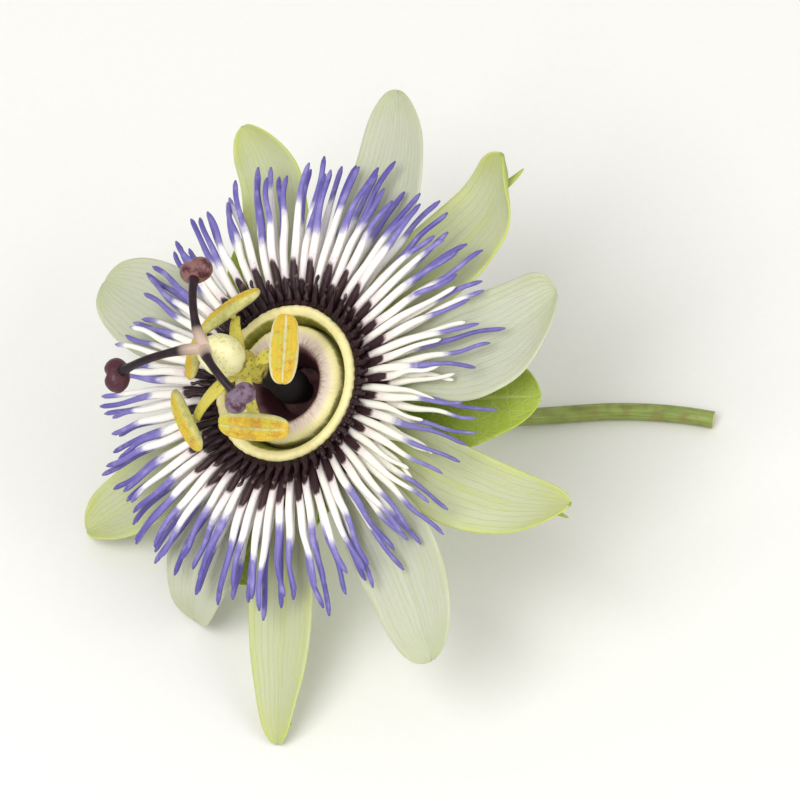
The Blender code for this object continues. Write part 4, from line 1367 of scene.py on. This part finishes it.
class PASSION_OT_styles(bpy.types.Operator):
    """Build the three styles and their two-lobed heads"""

    bl_idname = "passion.styles"
    bl_label = "Styles"

    def execute(self, context):
        centre = settings().centre
        blooms = (centre.stigma_rose, centre.stigma, centre.stigma_mauve)
        base = OVARY_TOP + STYLE_LIFT
        root = [Vector((0.35, 0.0, OVARY_TOP - 0.5)), Vector((0.55, 0.0, OVARY_TOP + 0.25))]
        for index, (turn, length, rise, bend) in enumerate(STYLES):
            number = index + 1
            skin = self.skin(f"style_skin_{number}", centre.style, centre.stigma, blooms[index])
            line = bent_line(length, lambda u: rise + bend * u)
            outward = heading(math.radians(turn))
            sideways = leftward(outward)
            flat = root + [Vector((STYLE_SPREAD + o, 0.0, base + h)) for o, h, _ in line[10:112:6]]
            places = [outward * p.x + upright(p.z) for p in rounded(flat, False, 3)]
            sizes = []
            for k in range(len(places)):
                s = k / (len(places) - 1)
                sizes.append(0.78 - 0.24 * smooth_step(s / 0.35) + 0.2 * smooth_step((s - 0.7) / 0.3))
            shell = Shell()
            tube(shell, places, sizes, 20, (0.0, 0.0, 0.45, 1.0), sideways)
            ahead = (places[-1] - places[-4]).normalized()
            self.head(shell, places[-1] + ahead * 0.35, ahead, sideways, index)
            put(shell, f"style_rod_{number}", f"style_{number}", SPINE, "style_purple", skin)
        return {"FINISHED"}

    def skin(self, name, stem, shadow, bloom):
        """Dark rods from a pale root, and mottled heads with a bloom of their own on top."""
        f = flesh(name, 0.38, 0.08, 0.3)
        mottle = f.noise(900.0)
        head = f.read("strand")
        rod = f.mix(f.span(mottle, 0.35, 0.65), stem, shade(42, 16, 26))
        root = f.span(f.read("along"), 0.04, 0.2, 0.85, 0.0)
        rod = f.mix(root, rod, shade(220, 194, 174))
        bulb = f.mix(f.span(mottle, 0.36, 0.6), shadow, bloom)
        colour = f.mix(head, rod, bulb)
        fine = f.cells(3800.0)
        normal = f.bump(f.times(fine, f.plus(head, 0.3)), 0.07, 0.5)
        return f.finish(colour, f.vary(mottle, 0.34, 0.5), normal)

    def head(self, shell, middle, ahead, sideways, seed):
        """A stigma, cleft into two lobes across its front."""
        top = ahead.cross(sideways)
        rows = []
        for i in range(STIGMA_ROWS):
            tall = math.pi * (i + 0.5) / STIGMA_ROWS
            row = []
            for j in range(STIGMA_SIDES):
                turn = TAU * j / STIGMA_SIDES
                wide = math.sin(tall)
                d = Vector((math.cos(tall), wide * math.cos(turn), wide * math.sin(turn)))
                cleft = bell(d.x / 0.28) * smooth_step((d.y + 0.6) / 1.2)
                lobe = 1.0 + 0.1 * abs(d.x) - 0.3 * cleft
                lobe += 0.03 * noise.noise(d * 4.0 + Vector((seed * 3.1, 0.0, 0.0)))
                size = STIGMA_R * lobe
                place = middle + sideways * (d.x * size * 1.04)
                place += ahead * (d.y * size * 0.78)
                place += top * (d.z * size * 0.86)
                row.append(shell.add(place, 1.0, d.x, 1.0))
            rows.append(row)
        shell.body(rows, (0.5, 0.0, 1.0, 1.0), strand=1.0)


def stalk_places(start, away):
    """Down along the bloom's axis, bending level as it meets the table, then veering along it."""
    pitch = math.asin(-away.z)
    drop = start.z - (STALK_R - STALK_FLAT)
    bend_length = drop * pitch / (1.0 - math.cos(pitch))
    total = bend_length + STALK_LIE
    places = [start.copy()]
    for step in range(STALK_STEPS):
        along = (step + 0.5) / STALK_STEPS * total
        slope = -pitch * max(1.0 - along / bend_length, 0.0)
        course = math.atan2(away.y, away.x) + STALK_VEER * (along / total) ** 1.5
        level = math.cos(slope)
        way = Vector((level * math.cos(course), level * math.sin(course), math.sin(slope)))
        places.append(places[-1] + way * (total / STALK_STEPS))
    return places


class PASSION_OT_stalk(bpy.types.Operator):
    """Build the stalk that lies along the table"""

    bl_idname = "passion.stalk"
    bl_label = "Stalk"

    def execute(self, context):
        stem = settings().stem
        start = BLOOM @ upright((-CUP_DEPTH - 0.3) * MM) / MM
        away = (BLOOM.to_3x3() @ -UP).normalized()
        places = stalk_places(start, away)
        flare = [1.0 + STALK_FLARE * max(0.0, 1.0 - k / 3.0) for k in range(len(places))]
        path = rounded([(*p, r) for p, r in zip(places, flare)], False)
        middle = [start - away * 0.9] + [Vector(p[:3]) for p in path]
        sizes = [STALK_R * r for r in [flare[0]] + [p[3] for p in path]]

        def ridges(share, turn):
            ridge = 0.035 * (0.5 + 0.5 * math.cos(turn * 5.0 + share * 1.5))
            return 1.0 - ridge - 0.01 * math.cos(turn * 15.0)

        here = Matrix.Identity(4)
        shell = Shell()
        tube(shell, middle, sizes, STALK_SIDES, ripple=ridges)
        shell.finishes[-STALK_SIDES:] = [1] * STALK_SIDES
        shell.rest_on_table(here)
        put(shell, "stalk_stem", "stalk", here, "stalk_green", self.skin(stem), self.cut(stem))
        return {"FINISHED"}

    def skin(self, stem):
        f = flesh("stalk_skin", 0.46, 0.12)
        stretched = f.vector(f.times(f.read("along"), 6.0), f.times(f.read("across"), 3.0))
        streak = f.noise(2.0, 4.0, stretched)
        mottle = f.noise(500.0)
        colour = f.mix(f.span(streak, 0.35, 0.7), stem.green, shade(156, 170, 92))
        colour = f.mix(f.times(f.span(mottle, 0.4, 0.7), 0.5), colour, stem.red)
        return f.finish(colour, f.vary(mottle, 0.38, 0.54), f.bump(f.plus(streak, mottle), 0.1, 0.4))

    def cut(self, stem):
        """The pale cut end with its pores."""
        f = flesh("stalk_cut", 0.6, 0.2)
        pores = f.cells(4200.0)
        colour = f.mix(f.span(pores, 0.1, 0.45, 0.6, 0.0), stem.pith, shade(150, 152, 92))
        return f.finish(colour, 0.6, f.bump(pores, 0.08, 0.6))


class PASSION_OT_stage(bpy.types.Operator):
    """Build the pale table top, the soft lights and the camera"""

    bl_idname = "passion.stage"
    bl_label = "Stage"

    def execute(self, context):
        stage = settings().stage
        self.table_top(stage)
        self.lights(context, stage)
        self.camera(context, stage)
        return {"FINISHED"}

    def table_top(self, stage):
        mesh = bpy.data.meshes.new("table_top")
        half = TABLE_HALF
        corners = [(-half, -half, 0), (half, -half, 0), (half, half, 0), (-half, half, 0)]
        mesh.from_pydata(corners, [], [(0, 1, 2, 3)])
        floor = bpy.data.objects.new("table_top", mesh)
        bpy.context.scene.collection.objects.link(floor)
        f = Finish("table_paint", 0.6)
        paint = f.mix(f.vary(f.noise(900.0), 0.0, 0.12), stage.floor, shade(226, 225, 221))
        mesh.materials.append(f.finish(paint, 0.6))

    def lights(self, context, stage):
        world = bpy.data.worlds.new("white_room")
        world.use_nodes = True
        ground = world.node_tree.nodes["Background"]
        ground.inputs["Color"].default_value = (1.0, 0.995, 0.985, 1.0)
        ground.inputs["Strength"].default_value = stage.room
        context.scene.world = world
        for name, power in (("key_light", stage.key), ("fill_light", stage.fill)):
            place, size = LIGHTS[name]
            light = bpy.data.lights.new(name, "AREA")
            light.energy = power
            light.size = size
            lamp = bpy.data.objects.new(name, light)
            context.scene.collection.objects.link(lamp)
            lamp.location = place
            lamp.rotation_euler = (-Vector(place)).to_track_quat("-Z", "Y").to_euler()

    def camera(self, context, stage):
        away = Vector((0.0, -math.cos(stage.elevation), math.sin(stage.elevation)))
        data = bpy.data.cameras.new("view")
        data.lens = stage.lens
        data.sensor_width = SENSOR_WIDTH
        data.clip_start, data.clip_end = 0.01, 20.0
        camera = bpy.data.objects.new("view", data)
        context.scene.collection.objects.link(camera)
        distance = VIEW_WIDTH / 2.0 / (SENSOR_WIDTH / 2.0 / data.lens)
        camera.location = sum(CAD_BOX, Vector()) / 2.0 + away * distance
        camera.rotation_euler = away.to_track_quat("Z", "Y").to_euler()
        context.scene.camera = camera
        context.scene.view_settings.view_transform = "Standard"


class PassionFlowerSettings(bpy.types.PropertyGroup):
    """All sizes and colours of the flower"""

    blades: PointerProperty(type=BladeSettings)
    crown: PointerProperty(type=CrownSettings)
    centre: PointerProperty(type=CentreSettings)
    stem: PointerProperty(type=StemSettings)
    stage: PointerProperty(type=StageSettings)


STEPS = (
    PASSION_OT_sepals,
    PASSION_OT_petals,
    PASSION_OT_bracts,
    PASSION_OT_crown,
    PASSION_OT_rings,
    PASSION_OT_column,
    PASSION_OT_anthers,
    PASSION_OT_styles,
    PASSION_OT_stalk,
    PASSION_OT_stage,
)


class PASSION_PT_panel(bpy.types.Panel):
    """Passion flower pieces and settings"""

    bl_idname = "PASSION_PT_panel"
    bl_label = "Passion Flower"
    bl_space_type = "VIEW_3D"
    bl_region_type = "UI"
    bl_category = "Passion Flower"

    def draw(self, context):
        layout = self.layout
        for step in STEPS:
            layout.operator(step.bl_idname)
        flower = context.scene.passion_flower
        for title, group in (
            ("Sepals, petals and bracts", flower.blades),
            ("Crown", flower.crown),
            ("Centre", flower.centre),
            ("Stalk", flower.stem),
            ("Stage", flower.stage),
        ):
            box = layout.box()
            box.label(text=title)
            for key in group.__annotations__:
                box.prop(group, key)


CLASSES = (
    BladeSettings,
    CrownSettings,
    CentreSettings,
    StemSettings,
    StageSettings,
    PassionFlowerSettings,
    *STEPS,
    PASSION_PT_panel,
)


def register():
    for made in CLASSES:
        bpy.utils.register_class(made)
    bpy.types.Scene.passion_flower = PointerProperty(type=PassionFlowerSettings)


def unregister():
    del bpy.types.Scene.passion_flower
    for made in reversed(CLASSES):
        bpy.utils.unregister_class(made)


def main():
    register()
    for step in STEPS:
        group, name = step.bl_idname.split(".")
        getattr(getattr(bpy.ops, group), name)()


if __name__ == "__main__":
    main()
